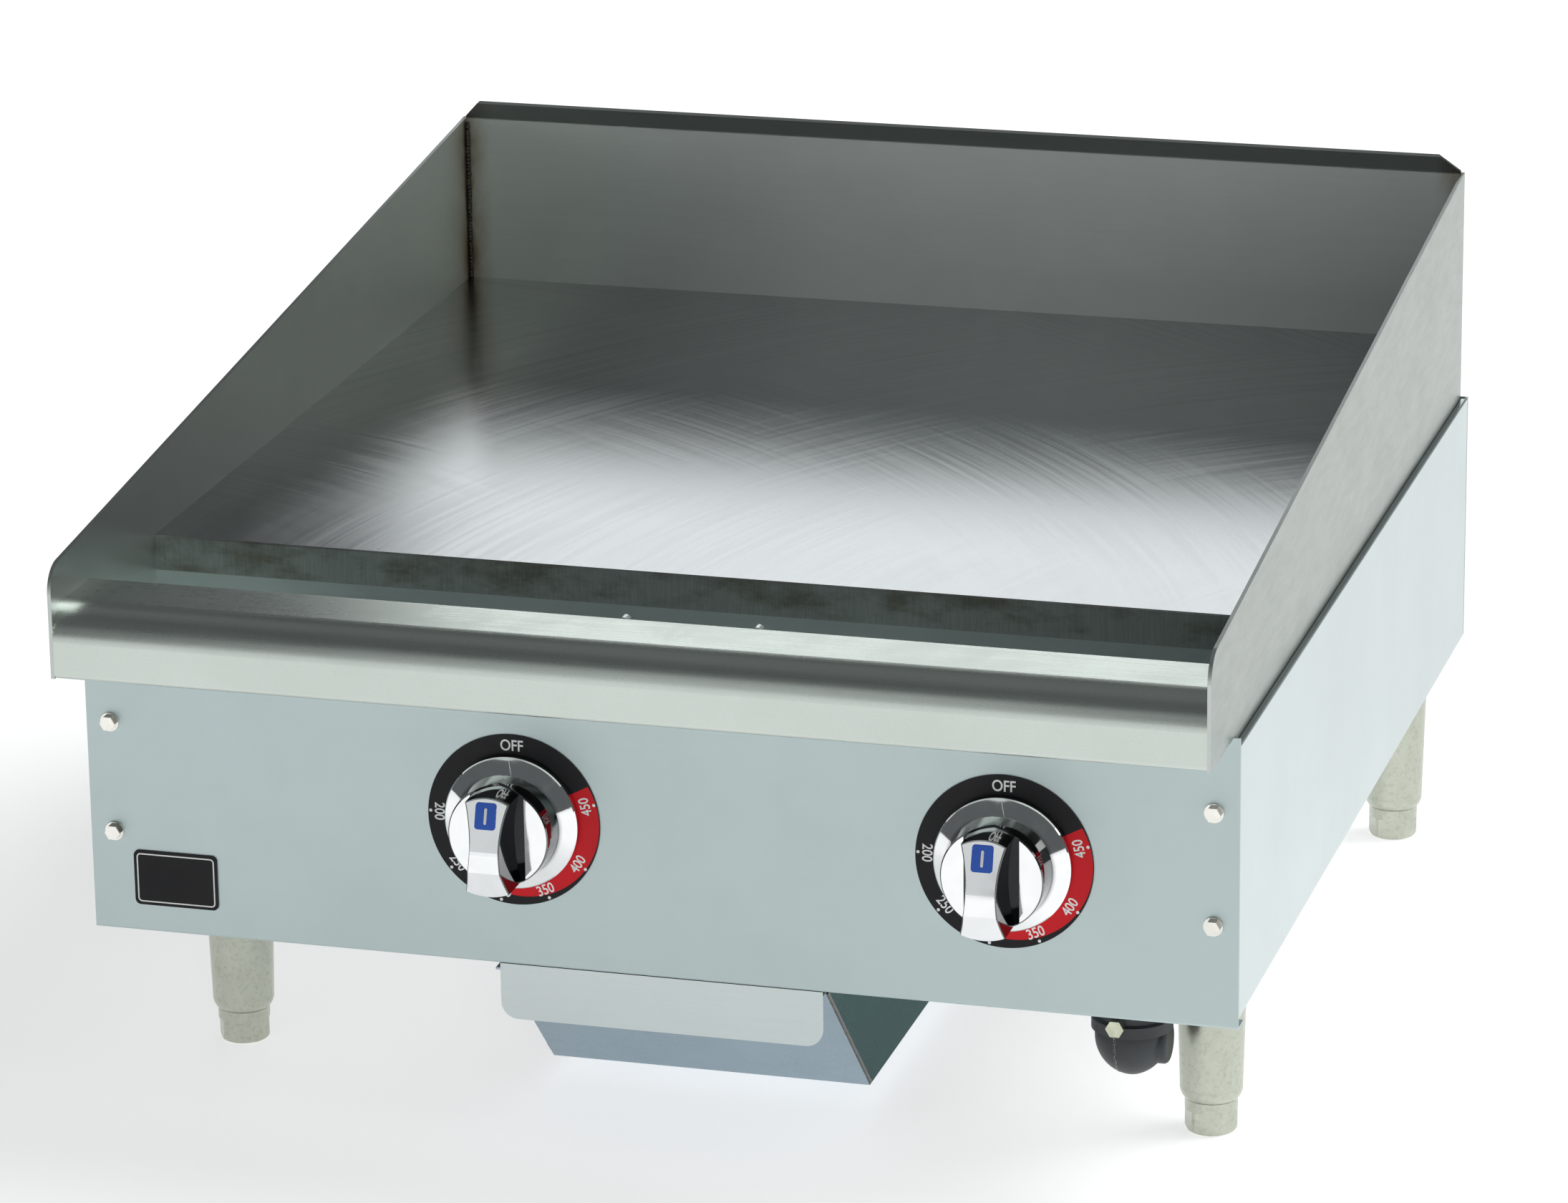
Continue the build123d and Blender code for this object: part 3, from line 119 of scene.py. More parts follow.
def make_floor():
    """A wide, pale floor that glows a little."""
    mesh = bpy.data.meshes.new("floor")
    half = FLOOR_HALF
    corners = [(-half, -half, 0), (half, -half, 0), (half, half, 0), (-half, half, 0)]
    mesh.from_pydata(corners, [], [(0, 1, 2, 3)])
    floor = bpy.data.objects.new("floor", mesh)
    bpy.context.scene.collection.objects.link(floor)
    finish = Finish("studio_floor", (0.88, 0.88, 0.88), roughness=0.8, Emission_Color=(1.0, 1.0, 1.0, 1.0),
                    Emission_Strength=FLOOR_GLOW, Specular_IOR_Level=0.2)
    cloud = finish.noise(finish.place((0.8, 0.8, 0.8)), detail=2.0)
    finish.tint(finish.ramp(cloud, (0.87, 0.875, 0.875), (0.89, 0.89, 0.89)))
    mesh.materials.append(finish.material)


def make_studio():
    """A pale floor in a dim room, cards behind and in front of the griddle, weak fills and a key light."""
    world = bpy.data.worlds.new("studio")
    bpy.context.scene.world = world
    world.use_nodes = True
    sky = world.node_tree.nodes["Background"]
    sky.inputs["Color"].default_value = (0.92, 0.98, 1.0, 1.0)
    sky.inputs["Strength"].default_value = WORLD_STRENGTH
    for box in SOFTBOXES:
        softbox(*box)
    make_key()
    make_floor()


# ---------------------------------------------------------------- material tools

class Finish:
    """A node material in the making. Its textures are laid out in the griddle's own frame, in metres."""

    def __init__(self, name, colour, roughness=0.4, metallic=0.0, **sockets):
        self.material = bpy.data.materials.new(name)
        self.material.use_nodes = True
        self.tree = self.material.node_tree
        self.shader = self.tree.nodes["Principled BSDF"]
        self.set("Base Color", (*colour, 1.0))
        self.set("Roughness", roughness)
        self.set("Metallic", metallic)
        for socket, value in sockets.items():
            self.set(socket.replace("_", " "), value)
        self.position = self.tree.nodes.new("ShaderNodeTexCoord").outputs["Object"]

    def set(self, socket, value):
        """A constant on one of the shader's sockets."""
        self.shader.inputs[socket].default_value = value

    def link(self, source, target):
        """A wire between two sockets."""
        self.tree.links.new(source, target)

    def add(self, kind, inputs=(), output=0, **settings):
        """A new node with its settings and inputs; returns one of its outputs."""
        node = self.tree.nodes.new("ShaderNode" + kind)
        for key, value in settings.items():
            setattr(node, key, value)
        for index, value in enumerate(inputs):
            if isinstance(value, bpy.types.NodeSocket):
                self.link(value, node.inputs[index])
            elif value is not None:
                node.inputs[index].default_value = value
        return node.outputs[output]

    def place(self, scale):
        """The position, scaled along each axis: a noise then varies about that many times a metre."""
        return self.add("Mapping", (self.position, None, None, scale))

    def math(self, operation, *values):
        """One step of arithmetic on sockets or numbers."""
        return self.add("Math", values, operation=operation)

    def along(self, axis):
        """One coordinate of the position, in metres."""
        return self.add("SeparateXYZ", (self.position,), output="XYZ".index(axis))

    def facing(self, axis):
        """How far the surface faces along an axis, -1 to 1."""
        normal = self.add("NewGeometry", output=1)
        local = self.add("VectorTransform", (normal,), vector_type="NORMAL", convert_from="WORLD",
                         convert_to="OBJECT")
        return self.add("SeparateXYZ", (local,), output="XYZ".index(axis))

    def noise(self, vector, detail=3.0, roughness=0.5, distortion=0.0):
        """A noise over a vector, 0 to 1 around one half."""
        node = self.tree.nodes.new("ShaderNodeTexNoise")
        self.link(vector, node.inputs["Vector"])
        node.inputs["Scale"].default_value = 1.0
        node.inputs["Detail"].default_value = detail
        node.inputs["Roughness"].default_value = roughness
        node.inputs["Distortion"].default_value = distortion
        return node.outputs["Fac"]

    def between(self, value, low, high, to_low=0.0, to_high=1.0):
        """Value mapped from low..high to to_low..to_high, clamped and smooth."""
        node = self.tree.nodes.new("ShaderNodeMapRange")
        node.interpolation_type = "SMOOTHSTEP"
        self.link(value, node.inputs["Value"])
        for key, number in (("From Min", low), ("From Max", high), ("To Min", to_low), ("To Max", to_high)):
            node.inputs[key].default_value = number
        return node.outputs["Result"]

    def ramp(self, value, low, high, start=0.3, end=0.7):
        """A colour between two, as value goes from start to end."""
        node = self.tree.nodes.new("ShaderNodeValToRGB")
        self.link(value, node.inputs["Fac"])
        node.color_ramp.elements[0].position = start
        node.color_ramp.elements[1].position = end
        node.color_ramp.elements[0].color = (*low, 1.0)
        node.color_ramp.elements[1].color = (*high, 1.0)
        return node.outputs["Color"]

    def mix(self, share, first, second, blend="MIX"):
        """Two colours mixed by share."""
        node = self.tree.nodes.new("ShaderNodeMix")
        node.data_type = "RGBA"
        node.blend_type = blend
        for key, value in ((0, share), (6, first), (7, second)):
            if isinstance(value, bpy.types.NodeSocket):
                self.link(value, node.inputs[key])
            elif key == 0:
                node.inputs[key].default_value = value
            else:
                node.inputs[key].default_value = (*value, 1.0)
        return node.outputs[2]

    def tint(self, colour):
        """Drives the base colour."""
        self.link(colour, self.shader.inputs["Base Color"])

    def gloss(self, roughness):
        """Drives the roughness."""
        self.link(roughness, self.shader.inputs["Roughness"])

    def relief(self, *layers):
        """Stacks bumps: each layer is a height and its depth in metres."""
        normal = None
        for height, depth in layers:
            node = self.tree.nodes.new("ShaderNodeBump")
            node.inputs["Strength"].default_value = 1.0
            node.inputs["Distance"].default_value = depth
            self.link(height, node.inputs["Height"])
            if normal is not None:
                self.link(normal, node.inputs["Normal"])
            normal = node.outputs["Normal"]
        self.link(normal, self.shader.inputs["Normal"])


ACROSS, ALONG = 520.0, 11.0      # streaks per metre across and along the grain, before finer octaves
WHITE = (1.0, 1.0, 1.0)
STREAK_GLOSS = 0.015             # how much the streaks change the roughness, each way
GRAINS = {"X": (ALONG, ACROSS, ACROSS), "Y": (ACROSS, ALONG, ACROSS), "Z": (ACROSS, ACROSS, ALONG)}


def brushed(name, colour, roughness, grain="X", cloud=0.04, streak=0.04, depth=0.0000010, smudge=0.02,
            across=None, stretch=0.8, **sockets):
    """Brushed sheet metal: fine streaks along the grain, soft clouds in its colour, smudges in its gloss.

    Reflections stretch along `across`, the direction that crosses the grain on the sheet.
    """
    finish = Finish(name, colour, roughness, 1.0, **sockets)
    if across:
        finish.set("Anisotropic", stretch)
        finish.link(finish.add("CombineXYZ", across), finish.shader.inputs["Tangent"])
    streaks = finish.noise(finish.place(GRAINS[grain]), detail=4.0, roughness=0.7)
    clouds = finish.noise(finish.place((6, 6, 6)), detail=4.0, roughness=0.6)
    smudges = finish.noise(finish.place((23, 17, 19)), detail=5.0, roughness=0.7, distortion=0.6)
    dark = [c * (1 - cloud) for c in colour]
    base = finish.ramp(clouds, dark, [min(1.0, c * (1 + cloud)) for c in colour])
    lined = finish.ramp(streaks, (1 - streak,) * 3, WHITE)
    finish.colour = finish.mix(1.0, base, lined, "MULTIPLY")
    finish.tint(finish.colour)
    rough = finish.between(streaks, 0.3, 0.7, roughness - STREAK_GLOSS, roughness + STREAK_GLOSS)
    finish.gloss(finish.math("ADD", rough, finish.between(smudges, 0.35, 0.75, -smudge / 2, smudge)))
    finish.relief((streaks, depth))
    return finish


# ---------------------------------------------------------------- materials

GRINDING_CENTRES = (((-0.42, -0.46), 330.0), ((0.50, -0.30), 290.0))     # each centre, its marks per metre
GRINDING_STRETCH = 2.4                                                  # marks per radian along the arcs


def make_plate_steel():
    """The ground plate: wide circular grinding marks on top, cross-cut marks down its front edge."""
    finish = Finish("plate_steel", (0.40, 0.42, 0.42), 0.22, 1.0)
    arcs = []
    for centre, pitch in GRINDING_CENTRES:
        x = finish.math("SUBTRACT", finish.along("X"), centre[0])
        y = finish.math("SUBTRACT", finish.along("Y"), centre[1])
        squares = finish.math("ADD", finish.math("MULTIPLY", x, x), finish.math("MULTIPLY", y, y))
        radius = finish.math("SQRT", squares)
        angle = finish.math("ARCTAN2", y, x)
        rings = finish.add("CombineXYZ", (finish.math("MULTIPLY", radius, pitch),
                                          finish.math("MULTIPLY", angle, GRINDING_STRETCH), centre[0]))
        arcs.append(finish.noise(rings, detail=4.0, roughness=0.75))
    patch = finish.between(finish.noise(finish.place((3.6, 3.6, 3.6)), detail=1.0), 0.40, 0.60)
    swirl = finish.math("ADD", finish.math("MULTIPLY", arcs[0], patch),
                        finish.math("MULTIPLY", arcs[1], finish.math("SUBTRACT", 1.0, patch)))
    cuts = finish.noise(finish.place((1500, 40, 60)), detail=4.0, roughness=0.65)
    stains = finish.noise(finish.place((26, 26, 60)), detail=4.0, roughness=0.7)
    edge = finish.between(finish.math("ABSOLUTE", finish.facing("Y")), 0.55, 0.8)
    clouds = finish.noise(finish.place((4.5, 4.5, 4.5)), detail=3.0)
    top = finish.ramp(swirl, (0.27, 0.282, 0.29), (0.41, 0.425, 0.43), 0.32, 0.68)
    top = finish.mix(1.0, top, finish.ramp(clouds, (0.92, 0.92, 0.93), WHITE), "MULTIPLY")
    side = finish.ramp(cuts, (0.40, 0.42, 0.41), (0.54, 0.56, 0.55), 0.3, 0.7)
    side = finish.mix(1.0, side, finish.ramp(stains, (0.62, 0.58, 0.50), WHITE, 0.36, 0.56), "MULTIPLY")
    finish.tint(finish.mix(edge, top, side))
    fine = finish.between(swirl, 0.35, 0.65, 0.19, 0.25)
    finish.gloss(finish.math("ADD", fine, finish.math("MULTIPLY", edge, 0.14)))
    finish.relief((swirl, 0.0000035), (finish.math("MULTIPLY", cuts, edge), 0.000005))
    return finish


HEAT_START = 0.017               # the heat tint begins this far from a weld
HEAT_FULL = 0.001                # and is complete this far from it


def make_splash_steel():
    """A splash's sheet: brown heat tint beside its welded rear corners, a duller mill finish outside."""
    finish = brushed("splash_steel", (0.60, 0.64, 0.62), 0.33, "X", cloud=0.05, depth=0.0000005,
                     across=(0, 0, 1))
    weld_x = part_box("rear_splash")[1][0]
    weld_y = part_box("griddle_plate")[1][1]
    inner = finish.between(finish.math("ABSOLUTE", finish.along("X")), weld_x - HEAT_START,
                           weld_x - HEAT_FULL)
    near = finish.between(finish.along("Y"), weld_y - HEAT_START, weld_y - HEAT_FULL)
    blotches = finish.noise(finish.place((60, 60, 35)), detail=4.0)
    patchy = finish.between(blotches, 0.3, 0.7, 0.25, 1.0)
    burnt = finish.math("MULTIPLY", finish.math("MULTIPLY", inner, near), patchy)
    clean = finish.mix(burnt, finish.colour, (0.26, 0.20, 0.13))
    away = finish.math("MULTIPLY", finish.facing("X"), finish.math("SIGN", finish.along("X")))
    rolled = finish.noise(finish.place((160, 36, 160)), detail=5.0, roughness=0.7)
    mill = finish.ramp(rolled, (0.29, 0.325, 0.30), (0.37, 0.41, 0.385))
    finish.tint(finish.mix(finish.between(away, 0.5, 0.9), clean, mill))
    return finish


def make_tray_steel():
    """The tray's bluish sheet, with painted shade on its side faces."""
    finish = brushed("tray_steel", (0.43, 0.49, 0.55), 0.28, "X", cloud=0.08)
    painted_shade_sides = finish.between(finish.math("ABSOLUTE", finish.facing("X")), 0.5, 0.9)
    # painted shade: faces turned to the side take a much darker colour
    finish.tint(finish.mix(painted_shade_sides, finish.colour, (0.055, 0.078, 0.076)))
    finish.set("Specular Tint", (0.5, 0.6, 0.6, 1.0))
    return finish


KNOB_WALL_START = 0.0085         # the painted shade on the hub's and grip's sides begins this far in front of the dial
KNOB_WALL_FULL = 0.0105          # and is complete this far in front of it
KNOB_WALL_FACING = (0.22, 0.36)  # how far a face turns to the side before its painted shade begins, and until it is full


def make_knob_chrome():
    """Polished chrome with faint wipe marks, with painted shade and a painted dark reflection on the sides of
    the hub and the grip.
    """
    finish = Finish("knob_chrome", (0.88, 0.90, 0.91), 0.06, 1.0)
    wipes = finish.noise(finish.place((60, 60, 60)), detail=5.0, roughness=0.7, distortion=1.0)
    bright = finish.ramp(wipes, (0.84, 0.86, 0.87), (0.92, 0.93, 0.94))
    dial_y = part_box("left_dial")[0][1]
    raised = finish.between(finish.along("Y"), dial_y - KNOB_WALL_FULL, dial_y - KNOB_WALL_START, 1.0, 0.0)
    painted_shade_walls = finish.between(finish.math("ABSOLUTE", finish.facing("X")), *KNOB_WALL_FACING)
    # painted shade and painted dark reflection: raised faces turned to the side take a dark colour
    finish.tint(finish.mix(finish.math("MULTIPLY", painted_shade_walls, raised), bright, (0.17, 0.175, 0.18)))
    finish.gloss(finish.between(wipes, 0.35, 0.75, 0.04, 0.10))
    return finish


PAINT_GLOSS = 0.06               # how much the clouds change a painted finish's roughness, each way


def painted(name, colour, roughness, grain=900.0, depth=0.00001, metallic=0.0, spread=0.15, gleam=0.5):
    """Paint, print or a casting's skin: fine grain, soft clouds in its colour and its gloss."""
    finish = Finish(name, colour, roughness, metallic, Specular_IOR_Level=gleam)
    grains = finish.noise(finish.place((grain,) * 3), detail=3.0)
    clouds = finish.noise(finish.place((40, 40, 40)), detail=4.0, roughness=0.65)
    low = [c * (1 - spread) for c in colour]
    finish.tint(finish.ramp(clouds, low, [min(1.0, c * (1 + spread)) for c in colour]))
    finish.gloss(finish.between(clouds, 0.3, 0.7, roughness - PAINT_GLOSS, roughness + PAINT_GLOSS))
    finish.relief((grains, depth))
    return finish


def make_leg_nickel():
    """Dull nickel plate over a casting: warm olive mottling with darker specks."""
    finish = Finish("leg_nickel", (0.56, 0.58, 0.49), 0.32, 1.0)
    mottle = finish.noise(finish.place((90, 90, 55)), detail=6.0, roughness=0.75)
    specks = finish.noise(finish.place((420, 420, 420)), detail=3.0)
    base = finish.ramp(mottle, (0.46, 0.485, 0.41), (0.55, 0.575, 0.50))
    speckled = finish.ramp(specks, (0.88, 0.88, 0.86), WHITE, 0.32, 0.5)
    finish.tint(finish.mix(1.0, base, speckled, "MULTIPLY"))
    finish.gloss(finish.between(mottle, 0.3, 0.7, 0.26, 0.34))
    finish.relief((mottle, 0.00005), (specks, 0.000012))
    return finish


def make_materials():
    """One finish per material slot of the record, and the finishes of the printed and welded pieces."""
    made = {
        "plate_steel": make_plate_steel(),
        "dial_print": painted("dial_print", (0.006, 0.006, 0.008), 0.42, 700.0, 0.000004, gleam=0.25),
        "knob_chrome": make_knob_chrome(),
        "leg_nickel": make_leg_nickel(),
        "splash_steel": make_splash_steel(),
        "rail_steel": brushed("rail_steel", (0.60, 0.65, 0.61), 0.28, "X", across=(0, 1, 1), stretch=0.5),
        "trough_steel": brushed("trough_steel", (0.70, 0.76, 0.75), 0.34, "X", cloud=0.12),
        "panel_steel": brushed("panel_steel", (0.50, 0.585, 0.59), 0.44, "X", cloud=0.012, streak=0.02),
        "side_steel": brushed("side_steel", (0.62, 0.69, 0.69), 0.36, "Z", cloud=0.035),
        "galvanised": brushed("galvanised", (0.50, 0.52, 0.53), 0.42, "X", cloud=0.12),
        "tray_steel": make_tray_steel(),
        "drawer_steel": brushed("drawer_steel", (0.60, 0.66, 0.66), 0.38, "X", cloud=0.02),
        "burner_steel": brushed("burner_steel", (0.40, 0.39, 0.37), 0.42, "Y", cloud=0.25),
        "shaft_steel": brushed("shaft_steel", (0.56, 0.56, 0.56), 0.3, "Y"),
        "screw_chrome": painted("screw_chrome", (0.80, 0.79, 0.74), 0.16, 500.0, 0.000006, 1.0),
        "mineral_wool": painted("mineral_wool", (0.74, 0.69, 0.55), 0.95, 400.0, 0.0006),
        "black_steel": painted("black_steel", (0.05, 0.05, 0.05), 0.5, 600.0, 0.00003),
        "brass": painted("brass", (0.72, 0.53, 0.24), 0.28, 700.0, 0.00001, 1.0),
        "tube_aluminium": painted("tube_aluminium", (0.72, 0.73, 0.74), 0.34, 700.0, 0.00001, 1.0),
        "cast_aluminium": painted("cast_aluminium", (0.55, 0.56, 0.57), 0.45, 900.0, 0.00004, 1.0),
        "badge_blue": painted("badge_blue", (0.03, 0.12, 0.60), 0.25, 300.0, 0.000003, spread=0.06),
        "copper": painted("copper", (0.72, 0.38, 0.24), 0.3, 600.0, 0.00001, 1.0),
        "regulator_grey": painted("regulator_grey", (0.030, 0.036, 0.040), 0.46, 1100.0, 0.00006, spread=0.3),
        "plug_zinc": painted("plug_zinc", (0.62, 0.64, 0.50), 0.38, 500.0, 0.00003, 1.0, 0.3),
        "dial_red": painted("dial_red", (0.66, 0.010, 0.018), 0.42, 700.0, 0.000003, spread=0.05, gleam=0.2),
        "print_white": painted("print_white", (0.86, 0.87, 0.87), 0.4, 900.0, 0.000002, spread=0.03),
        "weld_metal": painted("weld_metal", (0.11, 0.105, 0.10), 0.38, 900.0, 0.00006, 1.0, 0.5),
        "flash_metal": painted("flash_metal", (0.42, 0.43, 0.40), 0.5, 900.0, 0.00004, 0.6, 0.4),
    }
    return {slot: finish.material for slot, finish in made.items()}


def dress_nodes():
    """Gives every CAD node the finish of its slot."""
    for name, node in NODES.items():
        material = MATERIALS[SLOT_OF[name]]
        if not node.material_slots:
            node.data.materials.append(material)
        for slot in node.material_slots:
            slot.material = material


# ---------------------------------------------------------------- detail pieces

def centre_of(node):
    """The middle of a CAD node's box."""
    low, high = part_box(node)
    return [(a + b) / 2 for a, b in zip(low, high)]


def add_piece(name, mesh, body, material):
    """Puts a finished mesh in the scene as a piece that rides on a body."""
    mesh.materials.clear()
    mesh.materials.append(MATERIALS[material])
    piece = bpy.data.objects.new(name, mesh)
    bpy.context.scene.collection.objects.link(piece)
    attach(piece, body)


def prism(bm, outline, front, thickness):
    """A flat plate with an outline of (x, z) points, its face at y = front, added to a bmesh."""
    near = [bm.verts.new((x, front, z)) for x, z in outline]
    far = [bm.verts.new((x, front + thickness, z)) for x, z in outline]
    bm.faces.new(near)
    bm.faces.new(far[::-1])
    for i in range(len(outline)):
        j = (i + 1) % len(outline)
        bm.faces.new((near[j], near[i], far[i], far[j]))


def finish_bmesh(bm, name):
    """The mesh of a bmesh, its normals facing outwards."""
    bmesh.ops.recalc_face_normals(bm, faces=bm.faces)
    mesh = bpy.data.meshes.new(name)
    bm.to_mesh(mesh)
    bm.free()
    return mesh


PRINT_T = 0.00004                # thickness of print
FACES_FRONT = Matrix.Rotation(math.radians(90), 4, "X")
CAPITAL = 0.72                   # height of the font's capitals, as a share of its size
BOLDNESS = 0.018                 # how far a letter's outline grows, as a share of its height
NARROWING = Matrix.Diagonal((0.86, 1.0, 1.0, 1.0))
# what is printed on a dial, each at its angle counter-clockwise from the top
DIAL_MARKS = (("200", 88.0), ("250", 130.0), ("300", 170.0), ("350", 204.0), ("400", 238.0), ("450", 285.0))
FIGURE_R = 0.0397                # the figures' distance from the dial's middle
FIGURE_H = 0.0055
OFF_R = 0.0403
OFF_H = 0.0060
DOT_R = 0.0446                   # the dots' distance from it
DOT_SIZE = 0.00085               # a dot's radius
DOT_SIDES = 16
RED_START = math.radians(62.0)   # clockwise from the top
RED_END = math.radians(192.0)
RED_STEPS = 60
RED_INNER = 0.034
RED_OUTER = 0.0417               # radius of the circle that bounds the red sector outside
RED_SHIFT = Vector((0.0040, 0.0005))     # that circle's middle, from the dial's


def lettering(text, height, at, turn):
    """A mesh of raised lettering that faces the front, its middle at a point, turned counter-clockwise."""
    curve = bpy.data.curves.new(text, "FONT")
    curve.body = text
    curve.size = height / CAPITAL
    curve.align_x = "CENTER"
    curve.align_y = "CENTER"
    curve.extrude = PRINT_T / 2
    curve.offset = height * BOLDNESS
    curve.resolution_u = 6
    curve.space_character = 0.98
    shape = bpy.data.objects.new(text, curve)
    mesh = bpy.data.meshes.new_from_object(shape)
    bpy.data.objects.remove(shape)
    xs = [v.co.x for v in mesh.vertices]
    ys = [v.co.y for v in mesh.vertices]
    centring = Matrix.Translation((-(min(xs) + max(xs)) / 2, -(min(ys) + max(ys)) / 2, 0))
    placing = Matrix.Translation(at) @ FACES_FRONT @ Matrix.Rotation(turn, 4, "Z")
    mesh.transform(placing @ NARROWING @ centring)
    return mesh


def on_dial(hand, angle, radius):
    """A point on a dial's face: an angle counter-clockwise from the top, and a radius."""
    x, _, z = centre_of(f"{hand}_dial")
    return x - radius * math.sin(angle), z + radius * math.cos(angle)


def make_red_sector(hand):
    """The dial's red hot sector, between a circle off the dial's middle and a smaller round one."""
    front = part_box(f"{hand}_dial")[0][1]
    x, _, z = centre_of(f"{hand}_dial")
    far, near = [], []
    for i in range(RED_STEPS + 1):
        angle = RED_START + (RED_END - RED_START) * i / RED_STEPS
        way = Vector((math.sin(angle), math.cos(angle)))
        ahead = RED_SHIFT.dot(way)
        reach = ahead + math.sqrt(RED_OUTER ** 2 - RED_SHIFT.length_squared + ahead ** 2)
        far.append((x + reach * way.x, z + reach * way.y))
        near.append((x + RED_INNER * way.x, z + RED_INNER * way.y))
    bm = bmesh.new()
    prism(bm, far + near[::-1], front - PRINT_T, PRINT_T)
    add_piece(f"{hand}_dial_red_sector", finish_bmesh(bm, "sector"), "body", "dial_red")


def make_dial_figures(hand):
    """The dial's figures, its OFF mark and a dot at each figure."""
    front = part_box(f"{hand}_dial")[0][1]
    text_y = front - 1.5 * PRINT_T
    bm = bmesh.new()

    def engrave(text, height, angle, radius, turn):
        x, z = on_dial(hand, angle, radius)
        mesh = lettering(text, height, (x, text_y, z), turn)
        bm.from_mesh(mesh)
        bpy.data.meshes.remove(mesh)

    for text, degrees in DIAL_MARKS:
        angle = math.radians(degrees)
        engrave(text, FIGURE_H, angle, FIGURE_R, angle - math.pi)
        dot_x, dot_z = on_dial(hand, angle, DOT_R)
        ring = []
        for k in range(DOT_SIDES):
            around = 2 * math.pi * k / DOT_SIDES
            ring.append((dot_x + DOT_SIZE * math.cos(around), dot_z + DOT_SIZE * math.sin(around)))
        prism(bm, ring, front - 2 * PRINT_T, 2 * PRINT_T)
    engrave("OFF", OFF_H, 0.0, OFF_R, 0.0)
    add_piece(f"{hand}_dial_figures", finish_bmesh(bm, "figures"), "body", "print_white")


AHEAD_Y = -1.0                   # in front of everything: rays towards the back start here
BACKWARDS = Vector((0, 1, 0))
BAR_HALF_W = 0.0007
BAR_HALF_H = 0.0040
BAR_RISE = 0.00012               # how far the bar stands off the badge's face
BAR_ROWS = 24
BAR_TIP = 0.00002                # half the bar's width at its very ends


def surface_of(node):
    """A ray tree of a CAD node's mesh."""
    mesh = NODES[node].data
    return BVHTree.FromPolygons([v.co for v in mesh.vertices], [tuple(p.vertices) for p in mesh.polygons])


def make_badge_mark(hand):
    """A plain white upright bar with round ends on the knob's badge, following its face."""
    x, _, z = centre_of(f"{hand}_knob_badge")
    face = surface_of(f"{hand}_knob_badge")
    bm = bmesh.new()
    fronts, backs = [], []
    for i in range(BAR_ROWS + 1):
        up = math.sin(math.pi * (i / BAR_ROWS - 0.5))
        overhang = max(0.0, abs(up) * BAR_HALF_H - (BAR_HALF_H - BAR_HALF_W))
        wide = math.sqrt(max(0.0, BAR_HALF_W ** 2 - overhang ** 2)) + BAR_TIP
        for side in (-1, 1):
            px, pz = x + side * wide, z + up * BAR_HALF_H
            hit = face.ray_cast(Vector((px, AHEAD_Y, pz)), BACKWARDS)[0]
            fronts.append(bm.verts.new((px, hit.y - BAR_RISE, pz)))
            backs.append(bm.verts.new((px, hit.y + BAR_RISE, pz)))
    for i in range(0, 2 * BAR_ROWS, 2):
        bm.faces.new((fronts[i], fronts[i + 1], fronts[i + 3], fronts[i + 2]))
        bm.faces.new((backs[i + 1], backs[i], backs[i + 2], backs[i + 3]))
        bm.faces.new((fronts[i], fronts[i + 2], backs[i + 2], backs[i]))
        bm.faces.new((fronts[i + 3], fronts[i + 1], backs[i + 1], backs[i + 3]))
    bm.faces.new((fronts[1], fronts[0], backs[0], backs[1]))
    bm.faces.new((fronts[-2], fronts[-1], backs[-1], backs[-2]))
    mesh = finish_bmesh(bm, "mark")
    add_piece(f"{hand}_knob_badge_mark", mesh, f"{hand}_control", "print_white")


BORDER_OUT = (0.0016, 0.0022)    # the border's outer edge: its inset on the nameplate, its corner radius
BORDER_IN = (0.0023, 0.0015)     # the same for its inner edge
CORNER_STEPS = 6


def rounded_loop(centre, half_w, half_h, radius):
    """The (x, z) points of a rectangle with rounded corners, counter-clockwise."""
    points = []
    for corner, (sx, sz) in enumerate(((1, 1), (-1, 1), (-1, -1), (1, -1))):
        for k in range(CORNER_STEPS + 1):
            angle = math.radians(90 * corner + 90 * k / CORNER_STEPS)
            points.append((centre[0] + sx * (half_w - radius) + radius * math.cos(angle),
                           centre[1] + sz * (half_h - radius) + radius * math.sin(angle)))
    return points


def make_nameplate_border():
    """A thin light line around the blank nameplate."""
    low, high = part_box("nameplate")
    centre = ((low[0] + high[0]) / 2, (low[2] + high[2]) / 2)
    half_w, half_h = (high[0] - low[0]) / 2, (high[2] - low[2]) / 2
    outer, inner = (rounded_loop(centre, half_w - inset, half_h - inset, radius)
                    for inset, radius in (BORDER_OUT, BORDER_IN))
    front, rear = low[1] - PRINT_T, low[1]
    bm = bmesh.new()
    rings = [[bm.verts.new((x, y, z)) for x, z in points]
             for points, y in ((outer, front), (inner, front), (inner, rear), (outer, rear))]
    count = len(outer)
    for a, b in zip(rings, rings[1:] + rings[:1]):
        for i in range(count):
            j = (i + 1) % count
            bm.faces.new((a[i], a[j], b[j], b[i]))
    add_piece("nameplate_border", finish_bmesh(bm, "border"), "body", "print_white")


BEAD_GROWTH = (0.8, 1.2)         # a bead's size, as a share of the given radii
BEAD_WANDER = 0.2                # how far its middle strays, as a share of them
BEAD_LUMPS = 0.12                # how uneven its skin is
WELD_BEADS = 44
WELD_RADII = (0.0013, 0.0013, 0.0016)
WELD_INSET = 0.0006              # the beads' middles lie this far inside the corner
WELD_STOP = 0.003                # the weld ends this far below the splashes' top


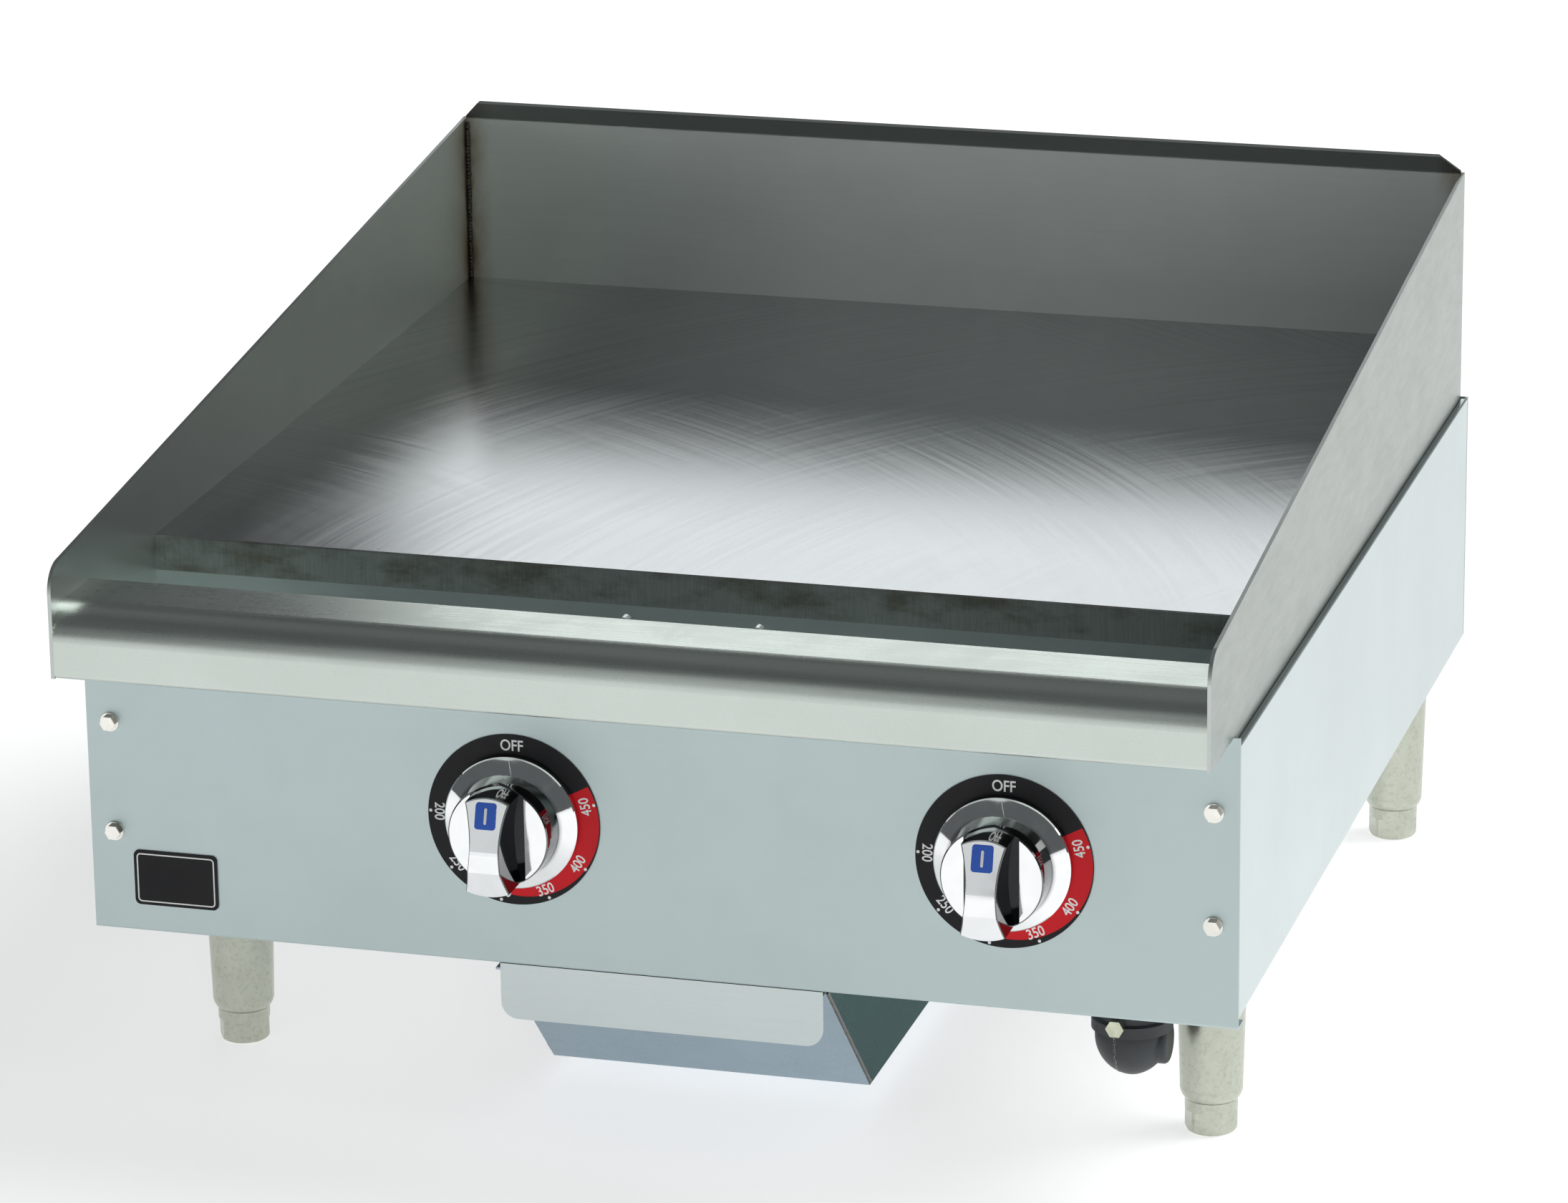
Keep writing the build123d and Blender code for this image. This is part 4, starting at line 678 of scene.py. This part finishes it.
def make_beads(name, points, radii, body, material, seed):
    """A run of overlapping, uneven beads of metal."""
    dice = random.Random(seed)
    bm = bmesh.new()
    for point in points:
        grown = [r * dice.uniform(*BEAD_GROWTH) for r in radii]
        where = Vector(point) + Vector([r * dice.uniform(-BEAD_WANDER, BEAD_WANDER) for r in radii])
        made = bmesh.ops.create_icosphere(bm, subdivisions=2, radius=1.0)
        for vert in made["verts"]:
            bump = 1.0 + BEAD_LUMPS * math.sin(5 * vert.co.x + 7 * vert.co.z + 3 * dice.random())
            vert.co = where + Vector([c * r * bump for c, r in zip(vert.co, grown)])
    mesh = finish_bmesh(bm, name)
    for polygon in mesh.polygons:
        polygon.use_smooth = True
    add_piece(name, mesh, body, material)


def make_corner_welds():
    """Weld beads up the two rear corners of the splashes."""
    plate_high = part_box("griddle_plate")[1]
    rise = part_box("left_splash")[1][2] - plate_high[2] - WELD_STOP
    for index, (hand, side) in enumerate(zip(HANDS, (-1, 1))):
        points = [(side * (plate_high[0] - WELD_INSET), plate_high[1] - WELD_INSET,
                   plate_high[2] + rise * (i + 0.5) / WELD_BEADS) for i in range(WELD_BEADS)]
        make_beads(f"{hand}_corner_weld", points, WELD_RADII, "body", "weld_metal", index)


TRAY_HALF = 0.087                # half the tray's width
TRAY_X = 0.001                   # the tray's middle
STRIP_ROWS = 40
STRIP_W = 0.0042                 # how far the strip runs back along the side wall
STRIP_RISE = 0.0005
STRIP_START = 0.001              # above the tray's floor
STRIP_STOP = 0.0035              # below the tray's rim
RAY_INSET = 0.002                # the slope's face is found this far inside the side wall
STRIP_WANDER = 0.06              # of its width
# the strip's section: how far it stands off the side wall, how far behind the slope's face
STRIP_SECTION = ((0.0, 0.0002), (STRIP_RISE, 0.0006), (STRIP_RISE * 1.3, STRIP_W / 2),
                 (STRIP_RISE, STRIP_W - 0.0004), (0.0, STRIP_W))


def make_tray_welds():
    """A flat weld strip down each slanted front corner of the grease tray."""
    low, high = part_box("grease_tray")
    face = surface_of("grease_tray")
    last = len(STRIP_SECTION) - 1
    for hand, side in zip(HANDS, (-1, 1)):
        wall = side * TRAY_HALF + TRAY_X
        bm = bmesh.new()
        dice = random.Random(7 + side)
        strips = []
        for i in range(STRIP_ROWS + 1):
            z = low[2] + STRIP_START + (high[2] - STRIP_STOP - low[2]) * i / STRIP_ROWS
            hit = face.ray_cast(Vector((wall - side * RAY_INSET, AHEAD_Y, z)), BACKWARDS)[0]
            wander = STRIP_W * dice.uniform(-STRIP_WANDER, STRIP_WANDER)
            strips.append([bm.verts.new((wall + side * off, hit.y + behind + wander, z))
                           for off, behind in STRIP_SECTION])
        for a, b in zip(strips, strips[1:]):
            for i in range(last):
                bm.faces.new((a[i], a[i + 1], b[i + 1], b[i]))
            bm.faces.new((a[last], a[0], b[0], b[last]))
        for end in (strips[0], strips[-1]):
            bm.faces.new(end)
        add_piece(f"{hand}_tray_weld", finish_bmesh(bm, "strip"), "drawer", "weld_metal")


SEAM_BEADS = 46
SEAM_RADII = (0.00022, 0.00022, 0.00042)
SEAM_START = 0.002               # above the casting's lowest point
SEAM_STOP = 0.004                # below the plug's middle
SEAM_X = -0.0012                 # from the plug's middle
SEAM_WANDER = 0.0006             # how far a bead strays to either side
SEAM_SINK = 0.00005              # how far a bead's middle lies under the casting's skin


def make_regulator_seam():
    """Rough flash along the casting's parting line, under the hex plug."""
    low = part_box("regulator")[0]
    plug = centre_of("regulator_plug")
    face = surface_of("regulator")
    dice = random.Random(31)
    length = plug[2] - SEAM_STOP - low[2] - SEAM_START
    points = []
    for i in range(SEAM_BEADS):
        z = low[2] + SEAM_START + length * (i + dice.random()) / SEAM_BEADS
        x = plug[0] + SEAM_X + SEAM_WANDER * dice.uniform(-1, 1)
        hit = face.ray_cast(Vector((x, AHEAD_Y, z)), BACKWARDS)[0]
        points.append((x, hit.y + SEAM_SINK, z))
    make_beads("regulator_seam", points, SEAM_RADII, "body", "flash_metal", 5)


make_camera()
make_studio()
MATERIALS = make_materials()
dress_nodes()
for hand in HANDS:
    make_red_sector(hand)
    make_dial_figures(hand)
    make_badge_mark(hand)
make_nameplate_border()
make_corner_welds()
make_tray_welds()
make_regulator_seam()

bpy.context.scene.view_settings.view_transform = "Standard"
